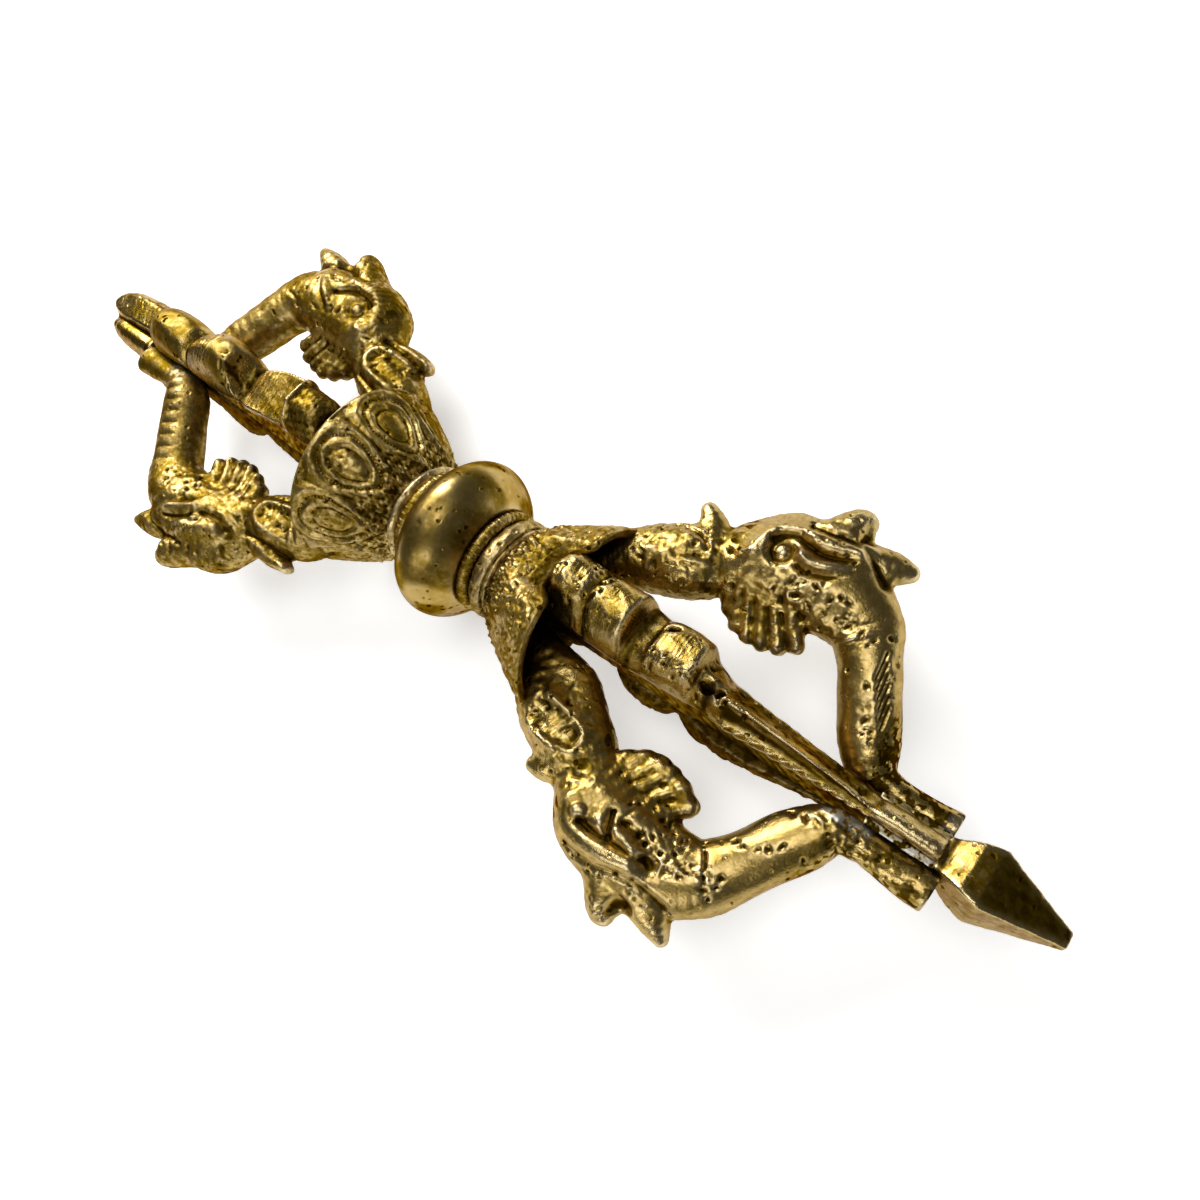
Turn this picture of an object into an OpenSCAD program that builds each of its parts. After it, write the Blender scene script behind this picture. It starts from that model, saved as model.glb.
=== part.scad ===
// Cast brass vajra: a round grip between two lotus cups, each cup holding a centre prong with a
// spear point, plain prongs above and below it, and a makara-headed prong on each side whose
// trunk bends in and is soldered to the centre prong. X runs along the sceptre, Z is up.

/* [Overall] */
// Distance from the middle of the grip to each spear point
half_length = 80; // [76:1:88]
// Length of the spear point beyond the prongs' feet
spear_len = 13; // [10:0.5:14]

/* [Grip bulb] */
// Largest radius of the bulb
bulb_r = 11; // [10:0.1:13]
// Half length at which the bulb's curve would close on the axis
bulb_bulge = 6.3; // [5.8:0.1:8]
// Half length of the bulb between its flat seats
bulb_seat = 4.7; // [3.8:0.1:5]
// Distance of the bulb's middle from the middle of the sceptre
bulb_shift = -0.6; // [-1:0.1:1]

/* [Beaded wires and collars] */
// Thickness of the beaded wire round each collar's spigot
wire_d = 1.7; // [1:0.1:2]
// Radius of the spigot that carries the beaded wire
spigot_r = 5.5; // [4.8:0.1:5.8]
// Largest radius of the rounded collar
collar_r = 7.1; // [6.3:0.1:8]

/* [Lotus cups] */
// Distance from the middle of the sceptre to the back of each cup
cup_x = 8.8; // [8.6:0.1:10]
// Radius of the cup where it meets the collar
cup_neck_r = 6; // [5.6:0.1:6.3]
// Radius of the cup's mouth
cup_mouth_r = 13; // [12.8:0.1:14.5]
// Length of the cup from the collar to the mouth
cup_len = 11.2; // [10.6:0.2:12.6]
// Thickness of the cup's wall
cup_wall = 1.4; // [1:0.1:1.5]
// Thickness of the cup's floor
cup_floor = 2.4; // [1.8:0.1:2.8]
// Number of petals round each cup
petal_count = 8; // [6:1:10]
// Height of the petals above the cup's skin
petal_relief = 0.45; // [0.3:0.05:0.7]
// Depth of the notches in the front cup's lip for the upper and lower prongs
notch_depth = 5.2; // [3:0.2:6]

/* [Centre prongs] */
// Width of the centre bar between the cup and the feet
core_w = 4.6; // [3.6:0.1:5]
// Height of the centre bar
core_h = 3.8; // [3.2:0.1:4.4]
// Width of the centre bar where the feet are soldered to it
waist_w = 2.6; // [2:0.1:3]
// Radius of the spear point at its widest
spear_r = 4.9; // [4:0.1:5.4]
// Radius of the hidden tang that holds cup, collar and bulb together
tang_r = 2.2; // [1.8:0.1:2.6]
// Turn of the front centre prong about the axis, in degrees
front_roll = 18; // [0:1:24]
// Turn of the rear centre prong about the axis, in degrees
rear_roll = 29; // [0:1:32]

/* [Upper and lower prongs] */
// Height of the tallest knob above the axis
knob_h = 10.6; // [9.6:0.1:11]
// Width of the widest knob
knob_w = 8.6; // [7.4:0.1:9]

/* [Makara prongs] */
// Distance from the axis to the middle of the makara head
head_y = 18.4; // [17:0.2:21]
// Distance from the cup's mouth to the middle of the makara head
head_reach = 17; // [16:0.2:19]
// Width of the head across its cheek, seen from above
head_w = 12.4; // [11:0.2:13.4]
// Thickness of the head from eye to eye
head_t = 9.6; // [8.4:0.2:10.6]
// Thickness of the trunk halfway to the foot
trunk_d = 5.8; // [5:0.1:6.6]
// Length of the foot that lies along the centre prong
foot_len = 8; // [6:0.5:9]
// Thickness of the foot, seen from above
foot_w = 3.9; // [3:0.1:4.2]

/* [Joints] */
// Gap between an arm and the cup's inner wall
arm_gap = 0.1; // [0.05:0.05:0.4]
// Thickness of the solder between a foot and the centre prong
solder_t = 0.5; // [0.3:0.05:0.7]
// Radial clearance of the tang in its bores
fit_gap = 0.05; // [0.02:0.01:0.1]

/* [Hidden] */

brass = [0.62, 0.49, 0.18];
dark_brass = [0.50, 0.39, 0.13];
solder_grey = [0.66, 0.65, 0.60];
turned = 96;
wire_r = wire_d / 2;
front_seat = bulb_seat + bulb_shift;
rear_seat = bulb_seat - bulb_shift;
floor_x = cup_x + cup_floor;
mouth_x = cup_x + cup_len;
toe_x = half_length - spear_len - 0.5;
heel_x = toe_x - foot_len;
core_half = core_h / 2;
waist_half = waist_w / 2;
tang_end = 0.4;
notch_w = knob_w + 0.4;
cup_flare = 0.7;
base_ledge = 0.4;
foot_y = waist_half + solder_t + foot_w / 2 - 0.1;
head_x = mouth_x + head_reach;

// Helpers
function mix(a, b, t) = a + (b - a) * t;
function cup_radius(t) = mix(cup_neck_r, cup_mouth_r, pow(t, cup_flare));
// Middle of an arm of that half width where it lies along the cup's inner wall at x
function arm_y(x, half) = cup_radius((x - cup_x) / cup_len) - cup_wall - arm_gap - half;
function signed_power(v, e) = sign(v) * pow(abs(v), e);
// Point on a smooth curve through four stations
function curve_point(a, b, c, d, t) =
    0.5 * (2 * b + (c - a) * t + (2 * a - 5 * b + 4 * c - d) * t * t
        + (3 * b - a - 3 * c + d) * t * t * t);
function at(list, i) = list[max(0, min(len(list) - 1, i))];
// The stations with extra ones between them, on a smooth curve
function smoothed(list, steps) = [
    for (i = [0 : len(list) - 2])
        for (j = [0 : steps - 1])
            curve_point(at(list, i - 1), list[i], list[i + 1], at(list, i + 2), j / steps),
    list[len(list) - 1]
];

// Skin over a row of rings that have the same number of points
module loft(rings) {
    n = len(rings[0]);
    last = (len(rings) - 1) * n;
    sides = [
        for (i = [0 : len(rings) - 2])
            for (k = [0 : n - 1])
                let (a = i * n + k, b = i * n + (k + 1) % n)
                    each [[a, a + n, b + n], [a, b + n, b]]
    ];
    caps = [[for (k = [0 : n - 1]) k], [for (k = [0 : n - 1]) last + n - 1 - k]];
    polyhedron([for (r = rings) each r], concat(sides, caps));
}

// Solid of revolution about X from a profile of [radius, x] points
module turned_about_x(profile) {
    rotate([0, 90, 0])
        rotate_extrude($fn = turned)
            polygon(profile);
}

module ball(p) {
    translate([p[0], p[1], p[2]])
        sphere(p[3], $fn = 10);
}

// Rounded limb through balls given as [x, y, z, radius]
module limb(balls) {
    for (i = [0 : len(balls) - 2])
        hull() {
            ball(balls[i]);
            ball(balls[i + 1]);
        }
}

module rear() {
    rotate([0, 0, 180])
        children();
}

// Grip bulb
function bulb_profile_radius(x) = bulb_r * sqrt(1 - pow(x / bulb_bulge, 2));

module bulb_solid() {
    steps = 16;
    bore_r = tang_r + fit_gap;
    skin = [
        for (i = [0 : steps])
            let (x = mix(-bulb_seat, bulb_seat, i / steps))
                [bulb_profile_radius(x), x]
    ];
    translate([bulb_shift, 0, 0])
        turned_about_x(concat([[bore_r, -bulb_seat]], skin, [[bore_r, bulb_seat]]));
}

// Beaded wire that lies round the collar's spigot
module beaded_wire(seat) {
    translate([seat + wire_r, 0, 0])
        rotate([0, 90, 0])
            rotate_extrude($fn = turned)
                translate([spigot_r + wire_r, 0])
                    circle(wire_r, $fn = 24);
}

// Rounded collar with a spigot towards the bulb
module collar(seat) {
    steps = 8;
    shoulder_r = cup_neck_r;
    ring_x = seat + wire_d;
    bore_r = tang_r + fit_gap;
    bulge = [
        for (i = [0 : steps])
            let (t = i / steps)
                [mix(shoulder_r, collar_r, sqrt(sin(180 * t))), mix(ring_x, cup_x, t)]
    ];
    turned_about_x(concat(
        [[bore_r, seat], [spigot_r, seat], [spigot_r, ring_x]],
        bulge,
        [[bore_r, cup_x]]
    ));
}

// Outline of one petal along the cup, with its point towards the mouth
module petal_outline(size) {
    half = 180 / petal_count * 0.92;
    width = cup_mouth_r * sin(half) * size;
    length = cup_len * 0.80 * size;
    middle = cup_x + cup_len * 0.52;
    steps = 10;
    edge = [
        for (i = [0 : steps])
            let (t = i / steps)
                [middle + length * (t - 0.5), width * pow(sin(180 * pow(t, 1.5)), 0.7)]
    ];
    polygon(concat(edge, [for (i = [steps - 1 : -1 : 1]) [edge[i][0], -edge[i][1]]]));
}

// Raised border and leaf of every petal, cut from a skin just proud of the cup
module petals() {
    steps = 6;
    proud = [
        for (i = [0 : steps])
            let (t = i / steps)
                [cup_radius(t) + petal_relief, cup_x + cup_len * t]
    ];
    sunk = [
        for (i = [steps : -1 : 0])
            let (t = i / steps)
                [cup_radius(t) - cup_wall / 2, cup_x + cup_len * t]
    ];
    intersection() {
        turned_about_x(concat(proud, sunk));
        for (k = [0 : petal_count - 1])
            rotate([360 * k / petal_count, 0, 0])
                linear_extrude(cup_mouth_r + 2) {
                    difference() {
                        petal_outline(1);
                        petal_outline(0.74);
                    }
                    petal_outline(0.52);
                }
    }
}

// Notches in the lip that let the upper and lower prongs stand proud of the cup
module lip_notches(roll) {
    for (turn = [0, 180])
        rotate([turn + roll, 0, 0])
            translate([mouth_x - notch_depth, -notch_w / 2, 0])
                cube([notch_depth + 1, notch_w, cup_mouth_r + 2]);
}

// Flared cup with a bored floor and petals round its skin
module lotus_cup() {
    steps = 8;
    outer = [
        for (i = [0 : steps])
            let (t = i / steps)
                [cup_radius(t), mix(cup_x, mouth_x, t)]
    ];
    inner = [
        for (i = [steps : -1 : 0])
            let (x = mix(floor_x, mouth_x, i / steps))
                [cup_radius((x - cup_x) / cup_len) - cup_wall, x]
    ];
    bore_r = tang_r + fit_gap;
    union() {
        turned_about_x(concat([[bore_r, cup_x]], outer, inner, [[bore_r, floor_x]]));
        petals();
    }
}

// Ring of a spear point at x, with its half width and half height
function spear_ring(x, w, h, corners) = [
    for (k = [0 : corners - 1])
        let (a = 360 * k / corners + 45)
            [x, w * cos(a), h * sin(a)]
];

// Rows of [share of the spear's length, half width, half height], as shares of its radius
front_spear_rows = [[0, 0.36, 0.36], [0.13, 0.62, 0.72], [0.23, 0.84, 0.95], [0.38, 1, 1], [0.97, 0.28, 0.26], [1, 0.2, 0.2]];
rear_spear_rows = [
    [0, 0.31, 0.41], [0.14, 0.46, 0.85], [0.4, 0.5, 0.94], [0.7, 0.46, 0.86], [0.88, 0.36, 0.64], [1, 0.16, 0.3]
];

// Centre prong: square bar with a round tang behind and a spear point ahead
module centre_prong(spear_rows, corners) {
    taper_x = mix(floor_x, heel_x, 0.8);
    rotate([0, 90, 0])
        translate([0, 0, tang_end])
            cylinder(r = tang_r, h = floor_x + 1 - tang_end, $fn = turned);
    translate([0, 0, -core_half])
        linear_extrude(core_h)
            polygon([
                [floor_x, -core_w / 2], [taper_x, -core_w / 2], [heel_x, -waist_half], [toe_x, -waist_half],
                [toe_x, waist_half], [heel_x, waist_half], [taper_x, core_w / 2], [floor_x, core_w / 2]
            ]);
    loft([
        for (r = spear_rows)
            spear_ring(mix(toe_x, half_length, r[0]), r[1] * spear_r, r[2] * spear_r, corners)
    ]);
}

// Rows of [place from cup floor to toe, width, height, squareness] for the plain prongs, with
// width and height as shares of the widest and tallest knob
front_upper_rows = [
    [0.00, 0.54, 0.62, 2.0], [0.05, 0.72, 0.86, 2.0], [0.08, 0.92, 0.98, 2.2], [0.16, 0.98, 1.00, 2.3],
    [0.195, 0.91, 0.92, 2.2], [0.215, 1.00, 0.97, 2.3], [0.27, 1.00, 0.97, 2.5], [0.295, 0.97, 0.93, 2.8],
    [0.31, 0.92, 0.69, 3.0], [0.35, 0.88, 0.70, 3.0], [0.40, 0.86, 0.82, 3.0], [0.44, 0.84, 0.84, 3.0],
    [0.455, 0.79, 0.79, 2.6], [0.47, 0.72, 0.65, 2.0], [0.52, 0.68, 0.63, 1.6], [0.59, 0.62, 0.62, 1.3],
    [0.70, 0.53, 0.53, 1.2], [0.83, 0.345, 0.34, 1.3], [0.86, 0.31, 0.30, 2.0], [0.885, 0.32, 0.34, 2.0],
    [0.975, 0.32, 0.34, 2.0], [0.998, 0.28, 0.28, 2.0]
];
front_lower_rows = [
    [0.00, 0.52, 0.62, 2.0], [0.05, 0.65, 0.76, 2.0], [0.13, 0.70, 0.80, 2.2], [0.21, 0.66, 0.70, 2.2],
    [0.245, 0.75, 0.82, 2.2], [0.32, 0.79, 0.87, 2.3], [0.385, 0.73, 0.80, 2.3], [0.414, 0.65, 0.64, 2.2],
    [0.45, 0.70, 0.76, 2.2], [0.50, 0.70, 0.79, 2.1], [0.59, 0.60, 0.66, 1.7], [0.70, 0.49, 0.51, 1.5],
    [0.83, 0.34, 0.31, 1.5], [0.88, 0.31, 0.33, 2.4], [0.975, 0.31, 0.33, 2.4], [0.998, 0.28, 0.27, 2.4]
];
rear_upper_rows = [
    [0.00, 0.54, 0.62, 2.0], [0.05, 0.69, 0.76, 2.0], [0.12, 0.80, 0.82, 2.2], [0.23, 0.82, 0.74, 2.2],
    [0.29, 0.85, 0.74, 2.4], [0.33, 0.87, 0.80, 2.6], [0.375, 0.87, 0.81, 2.8], [0.395, 0.86, 0.77, 3.2],
    [0.47, 0.85, 0.61, 3.2], [0.56, 0.80, 0.46, 2.8], [0.577, 0.76, 0.42, 2.4], [0.59, 0.79, 0.58, 2.3],
    [0.61, 0.84, 0.72, 2.3], [0.65, 0.88, 0.82, 2.3], [0.70, 0.88, 0.79, 2.4], [0.76, 0.84, 0.65, 2.5],
    [0.795, 0.80, 0.56, 2.4], [0.81, 0.80, 0.55, 2.4], [0.83, 0.83, 0.61, 2.4], [0.88, 0.87, 0.68, 2.4],
    [0.94, 0.82, 0.66, 2.3], [0.98, 0.64, 0.55, 2.2], [0.998, 0.46, 0.32, 2.2]
];
rear_lower_rows = [
    [0.00, 0.48, 0.62, 2.0], [0.05, 0.61, 0.76, 2.0], [0.12, 0.69, 0.82, 2.2], [0.23, 0.69, 0.72, 2.2],
    [0.33, 0.72, 0.80, 2.4], [0.42, 0.70, 0.76, 2.4], [0.56, 0.62, 0.48, 2.4], [0.61, 0.67, 0.69, 2.3],
    [0.68, 0.69, 0.78, 2.3], [0.80, 0.62, 0.54, 2.3], [0.89, 0.64, 0.63, 2.3], [0.96, 0.56, 0.58, 2.3],
    [0.998, 0.40, 0.31, 2.2]
];

// Plain prong lofted along the row list, flat where it lies on the centre bar
module plain_prong(rows) {
    arc = 8;
    rings = [
        for (r = rows)
            let (x = mix(floor_x, toe_x, r[0]),
                 w = r[1] * knob_w / 2,
                 rise = max(0.4, r[2] * knob_h - core_half),
                 base = x > heel_x - 3 ? min(w, waist_half) : min(w, core_w / 2 + base_ledge),
                 e = 2 / r[3])
                concat(
                    [[x, base, core_half]],
                    [
                        for (k = [0 : arc])
                            let (a = mix(14, 166, k / arc))
                                [x, w * signed_power(cos(a), e), core_half + rise * pow(sin(a), e)]
                    ],
                    [[x, -base, core_half]]
                )
    ];
    loft(rings);
}

// Solder section against the centre bar's flank, as [distance from axis, height] points
function solder_section() =
    let (h = core_half - 0.05, inner = waist_half, face = waist_half + solder_t, lip = face + 1)
        [[inner, -h], [lip, -h], [face, 0.6 - h], [face, h - 0.6], [lip, h], [inner, h]];

module solder_seam(roll) {
    rotate([roll, 0, 0])
        translate([heel_x, 0, 0])
            rotate([90, 0, 90])
                linear_extrude(foot_len)
                    polygon(solder_section());
}

// Makara prong in the quarter where X and Y are positive: arm, head with brow, eye, beard and
// two-lobed crown, and a trunk that bends in to a flat foot
module makara_prong(roll) {
    sides = 12;
    trunk_r = trunk_d / 2;
    cheek = head_w / 2;
    thick = head_t / 2;
    arm_rows = [[0, 0.59, 0.65], [0.32, 0.79, 0.79], [0.66, 0.93, 0.93], [1, 1, 1.07]];
    lip_y = arm_y(mouth_x, trunk_r);
    bend = [head_x + 10.6, head_y - 2];
    foot = [foot_y * cos(roll), foot_y * sin(roll)];
    heel = [heel_x - 0.8, foot[0] + 0.9];
    rows = smoothed([
        for (a = arm_rows)
            let (x = mix(floor_x, mouth_x, a[0]), half = a[1] * trunk_r)
                [x, arm_y(x, half), half, a[2] * trunk_r, 0],
        [mix(mouth_x, head_x, 0.21), mix(lip_y, head_y, 0.25), cheek * 0.62, thick * 0.77, 0],
        [mix(mouth_x, head_x, 0.41), mix(lip_y, head_y, 0.43), cheek * 0.74, thick * 0.87, 0],
        [mix(mouth_x, head_x, 0.59), mix(lip_y, head_y, 0.58), cheek * 0.65, thick * 0.75, 0],
        [mix(mouth_x, head_x, 0.77), mix(lip_y, head_y, 0.81), cheek * 0.87, thick * 0.92, 0],
        [head_x, head_y, cheek, thick, 0],
        [head_x + 4, head_y + 0.6, cheek, thick, 0],
        [head_x + 7.8, head_y + 0.1, cheek * 0.82, thick * 0.9, 0],
        [bend[0], bend[1], cheek * 0.6, thick * 0.72, 0],
        [mix(bend[0], heel[0], 0.28), mix(bend[1], heel[1], 0.28), trunk_r * 1.06, trunk_r * 1.06, foot[1] * 0.2],
        [mix(bend[0], heel[0], 0.64), mix(bend[1], heel[1], 0.64), trunk_r, trunk_r, foot[1] * 0.6],
        [heel[0], heel[1], trunk_r * 0.88, trunk_r * 0.92, foot[1]],
        [heel_x + 1.6, foot[0] + 0.2, foot_w * 0.56, trunk_r * 0.8, foot[1]],
        [mix(heel_x, toe_x, 0.55), foot[0], foot_w / 2, trunk_r * 0.74, foot[1]],
        [toe_x, foot[0], foot_w / 2, trunk_r * 0.7, foot[1]]
    ], 2);
    last = len(rows) - 1;
    rings = [
        for (i = [0 : last])
            let (a = rows[max(0, i - 1)],
                 b = rows[min(last, i + 1)],
                 run = norm([b[0] - a[0], b[1] - a[1]]),
                 flat_end = i == 0 || i == last,
                 along = flat_end ? [1, 0] : [b[0] - a[0], b[1] - a[1]] / run,
                 across = [-along[1], along[0]])
                [
                    for (k = [0 : sides - 1])
                        let (u = rows[i][2] * cos(360 * k / sides),
                             v = rows[i][3] * sin(360 * k / sides))
                            [rows[i][0] + across[0] * u, rows[i][1] + across[1] * u, rows[i][4] + v]
                ]
    ];
    difference() {
        union() {
            loft(rings);
            translate([head_x, head_y, 0])
                makara_features(cheek, thick);
        }
        rotate([roll, 0, 0]) {
            translate([heel_x - 20, waist_half + solder_t - 12, -12])
                cube([toe_x - heel_x + 40, 12, 24]);
            translate([heel_x, 0, 0])
                rotate([90, 0, 90])
                    linear_extrude(foot_len + 1)
                        polygon(solder_section());
        }
    }
}

// Ear, brow, eye, lips, beard and crown, placed from the middle of the head
module makara_features(cheek, thick) {
    ribs = 5;
    limb([[-11.2, -1.8, 0, 2.1], [-12.6, 0.3, 0, 1.5]]);
    limb([[-3.6, 3.6, 0, 2.3], [0.6, cheek - 1.3, 0, 2.0]]);
    limb([[3.4, cheek - 1.2, 0, 2.7], [4, cheek + 1.9, 0, 2.0]]);
    limb([[8, cheek - 2.6, 0, 2.7], [11, cheek, 0, 0.9]]);
    for (i = [0 : ribs - 1])
        limb([
            [1.6 * i - 2.8, 1.4 - cheek, 0, 2],
            [2.1 * i - 3.6, -cheek - 1.7 - 1.4 * sin(180 * (i + 0.4) / ribs), 0, 1.2]
        ]);
    for (s = [-1, 1]) {
        limb([[-4.6, 1.6, s * (thick - 2.4), 1.2], [-2, 4.2, s * (thick - 1.9), 1.4], [4, 4.2, s * (thick - 1.9), 1.4]]);
        limb([[1.8, -0.9, s * (thick - 0.6), 0.7], [7.6, -0.7, s * (thick - 1), 0.7]]);
        translate([-0.8, 1.8, s * (thick - 0.3)]) {
            sphere(0.9, $fn = 10);
            rotate_extrude($fn = 16)
                translate([1.7, 0])
                    circle(0.45, $fn = 6);
        }
    }
}

module grip_bulb() { color(brass) bulb_solid(); }

module front_beaded_wire() { color(dark_brass) beaded_wire(front_seat); }
module rear_beaded_wire() { color(dark_brass) rear() beaded_wire(rear_seat); }

module front_collar() { color(brass) collar(front_seat); }
module rear_collar() { color(brass) rear() collar(rear_seat); }

module front_lotus_cup() {
    color(brass)
        difference() {
            lotus_cup();
            lip_notches(-front_roll);
        }
}
module rear_lotus_cup() { color(brass) rear() lotus_cup(); }

module front_centre_prong() {
    color(dark_brass)
        rotate([-front_roll, 0, 0])
            centre_prong(front_spear_rows, 4);
}
module rear_centre_prong() {
    color(dark_brass)
        rear()
            rotate([rear_roll, 0, 0])
                centre_prong(rear_spear_rows, 8);
}

module front_upper_prong() { color(brass) rotate([-front_roll, 0, 0]) plain_prong(front_upper_rows); }
module front_lower_prong() { color(brass) rotate([180 - front_roll, 0, 0]) plain_prong(front_lower_rows); }
module rear_upper_prong() { color(brass) rear() rotate([rear_roll, 0, 0]) plain_prong(rear_upper_rows); }
module rear_lower_prong() { color(brass) rear() rotate([180 + rear_roll, 0, 0]) plain_prong(rear_lower_rows); }

module front_left_makara() { color(brass) makara_prong(-front_roll); }
module front_right_makara() { color(brass) mirror([0, 1, 0]) makara_prong(front_roll); }
module rear_left_makara() { color(brass) mirror([1, 0, 0]) makara_prong(-rear_roll); }
module rear_right_makara() { color(brass) rear() makara_prong(rear_roll); }

module front_left_solder() { color(solder_grey) solder_seam(-front_roll); }
module front_right_solder() { color(solder_grey) mirror([0, 1, 0]) solder_seam(front_roll); }
module rear_left_solder() { color(solder_grey) mirror([1, 0, 0]) solder_seam(-rear_roll); }
module rear_right_solder() { color(solder_grey) rear() solder_seam(rear_roll); }

grip_bulb();
front_beaded_wire();
rear_beaded_wire();
front_collar();
rear_collar();
front_lotus_cup();
rear_lotus_cup();
front_centre_prong();
rear_centre_prong();
front_upper_prong();
front_lower_prong();
rear_upper_prong();
rear_lower_prong();
front_left_makara();
front_right_makara();
rear_left_makara();
rear_right_makara();
front_left_solder();
front_right_solder();
rear_left_solder();
rear_right_solder();
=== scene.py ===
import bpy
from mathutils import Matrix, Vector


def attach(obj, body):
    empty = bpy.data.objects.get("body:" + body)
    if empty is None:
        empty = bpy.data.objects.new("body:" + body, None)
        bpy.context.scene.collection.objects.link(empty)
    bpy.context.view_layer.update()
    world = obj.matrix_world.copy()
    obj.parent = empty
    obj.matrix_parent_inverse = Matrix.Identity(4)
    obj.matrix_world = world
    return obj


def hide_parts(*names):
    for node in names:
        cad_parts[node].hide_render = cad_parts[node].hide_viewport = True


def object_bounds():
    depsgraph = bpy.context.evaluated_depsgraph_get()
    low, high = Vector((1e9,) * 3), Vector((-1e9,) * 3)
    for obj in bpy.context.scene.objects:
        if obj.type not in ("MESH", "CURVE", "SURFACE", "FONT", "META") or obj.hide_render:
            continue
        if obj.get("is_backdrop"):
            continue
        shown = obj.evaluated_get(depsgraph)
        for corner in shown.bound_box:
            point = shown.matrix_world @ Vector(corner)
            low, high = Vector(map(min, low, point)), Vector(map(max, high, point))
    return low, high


bl_info = {
    "name": "Cast brass vajra",
    "version": (1, 0, 0),
    "blender": (4, 5, 0),
    "location": "3D View > Sidebar > Vajra",
    "description": "Sculpts and finishes the pieces of a cast brass vajra around its packed frame",
    "category": "Object",
}

import math

import bpy
import numpy as np
from bpy.props import FloatProperty, FloatVectorProperty, IntProperty, PointerProperty
from mathutils import Matrix

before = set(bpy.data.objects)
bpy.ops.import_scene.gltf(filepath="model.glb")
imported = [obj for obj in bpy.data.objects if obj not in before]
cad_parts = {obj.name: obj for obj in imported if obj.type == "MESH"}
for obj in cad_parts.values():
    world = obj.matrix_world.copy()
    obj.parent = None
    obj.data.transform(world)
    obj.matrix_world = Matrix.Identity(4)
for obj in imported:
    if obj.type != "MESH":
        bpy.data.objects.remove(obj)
CAD_LOW, CAD_HIGH = (tuple(corner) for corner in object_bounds())
MM = 0.001
FLOOR_Z = CAD_LOW[2]

# Places along the sceptre, in millimetres from its middle
FLOOR_X = 11.2
MOUTH_X = 20.0
CUP_X = 8.8
HEEL_X = 58.5
TOE_X = 66.5
BAR_HALF = 1.9
BAR_SIDE = 2.3
WAIST_SIDE = 1.3
FLANK = 1.8
FOOT_Y = 3.65
ROLL = {"front": math.radians(18), "rear": math.radians(29)}


# Plan drawing: distances and marks on a sheet seen from above


def smoothed(rows, steps):
    """Stations with extra ones between them, on a smooth curve through all of them."""
    rows = np.array(rows, float)
    ends = np.vstack([rows[:1], rows, rows[-1:]])
    a, b, c, d = ends[:-3], ends[1:-2], ends[2:-1], ends[3:]
    t = (np.arange(steps) / steps)[None, :, None]
    a, b, c, d = (part[:, None, :] for part in (a, b, c, d))
    curve = 0.5 * (2 * b + (c - a) * t + (2 * a - 5 * b + 4 * c - d) * t**2 + (3 * b - a - 3 * c + d) * t**3)
    return np.vstack([curve.reshape(-1, rows.shape[1]), rows[-1:]])


def line_distance(x, y, points):
    """Distance from every place on the sheet to a line, and how far along the line it lies."""
    best = np.full(np.broadcast(x, y).shape, 1e3)
    along = np.zeros_like(best)
    start = 0.0
    for (ax, ay), (bx, by) in zip(points[:-1], points[1:]):
        run = math.hypot(bx - ax, by - ay)
        t = np.clip(((x - ax) * (bx - ax) + (y - ay) * (by - ay)) / run**2, 0, 1)
        gap = np.hypot(x - ax - t * (bx - ax), y - ay - t * (by - ay))
        near = gap < best
        best = np.where(near, gap, best)
        along = np.where(near, start + t * run, along)
        start += run
    return best, along


def bell(value, width):
    """Soft mark that is 1 at zero and fades to both sides."""
    return np.exp(-((value / width) ** 2))


def plateau(value, width):
    """Mark with a flat top at zero and steeper sides."""
    return np.exp(-((value / width) ** 4))


def scratch(x, y, points, width):
    """Soft mark along a broken line through the points."""
    return bell(line_distance(x, y, points)[0], width)


def stroke(x, y, points, width):
    """Soft mark of full strength along a smooth line through the points."""
    return scratch(x, y, smoothed(points, 5), width)


def spot(x, y, cx, cy, width, length=None, turn=0.0):
    """Soft round or oval mark."""
    length = length or width
    c, s = math.cos(turn), math.sin(turn)
    u = (x - cx) * c + (y - cy) * s
    v = (y - cy) * c - (x - cx) * s
    return np.exp(-((u / length) ** 2) - (v / width) ** 2)


def step_up(value, low, high):
    """0 up to low, 1 from high on, and a smooth rise between."""
    t = np.clip((value - low) / (high - low), 0, 1)
    return t * t * (3 - 2 * t)


def wobble(x, y, z, wave, seed):
    """Slow uneven ripple of about one unit, the same on each run."""
    rng = np.random.default_rng(seed)
    total = 0.0
    for _ in range(7):
        k = rng.normal(size=3)
        k *= 2 * math.pi / (np.linalg.norm(k) * wave * rng.uniform(0.6, 1.7))
        total = total + np.sin(k[0] * x + k[1] * y + k[2] * z + rng.uniform(0, 6.28))
    return total / 2.6


def blotches(points, wave, seed):
    """Uneven patches over the points of a mesh, from 0 to 1."""
    return np.clip(0.5 + 0.9 * wobble(*points.T, wave, seed), 0, 1)


def cast_grain(x, y, z, coarse, fine):
    """Two sizes of ripple of a sand-cast skin, from two seeds."""
    return wobble(x, y, z, 1.5, coarse) + 0.6 * wobble(x, y, z, 0.8, fine)


def most(*masks):
    """Strongest of several marks at every place."""
    strongest = masks[0]
    for mask in masks[1:]:
        strongest = np.maximum(strongest, mask)
    return strongest


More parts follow.
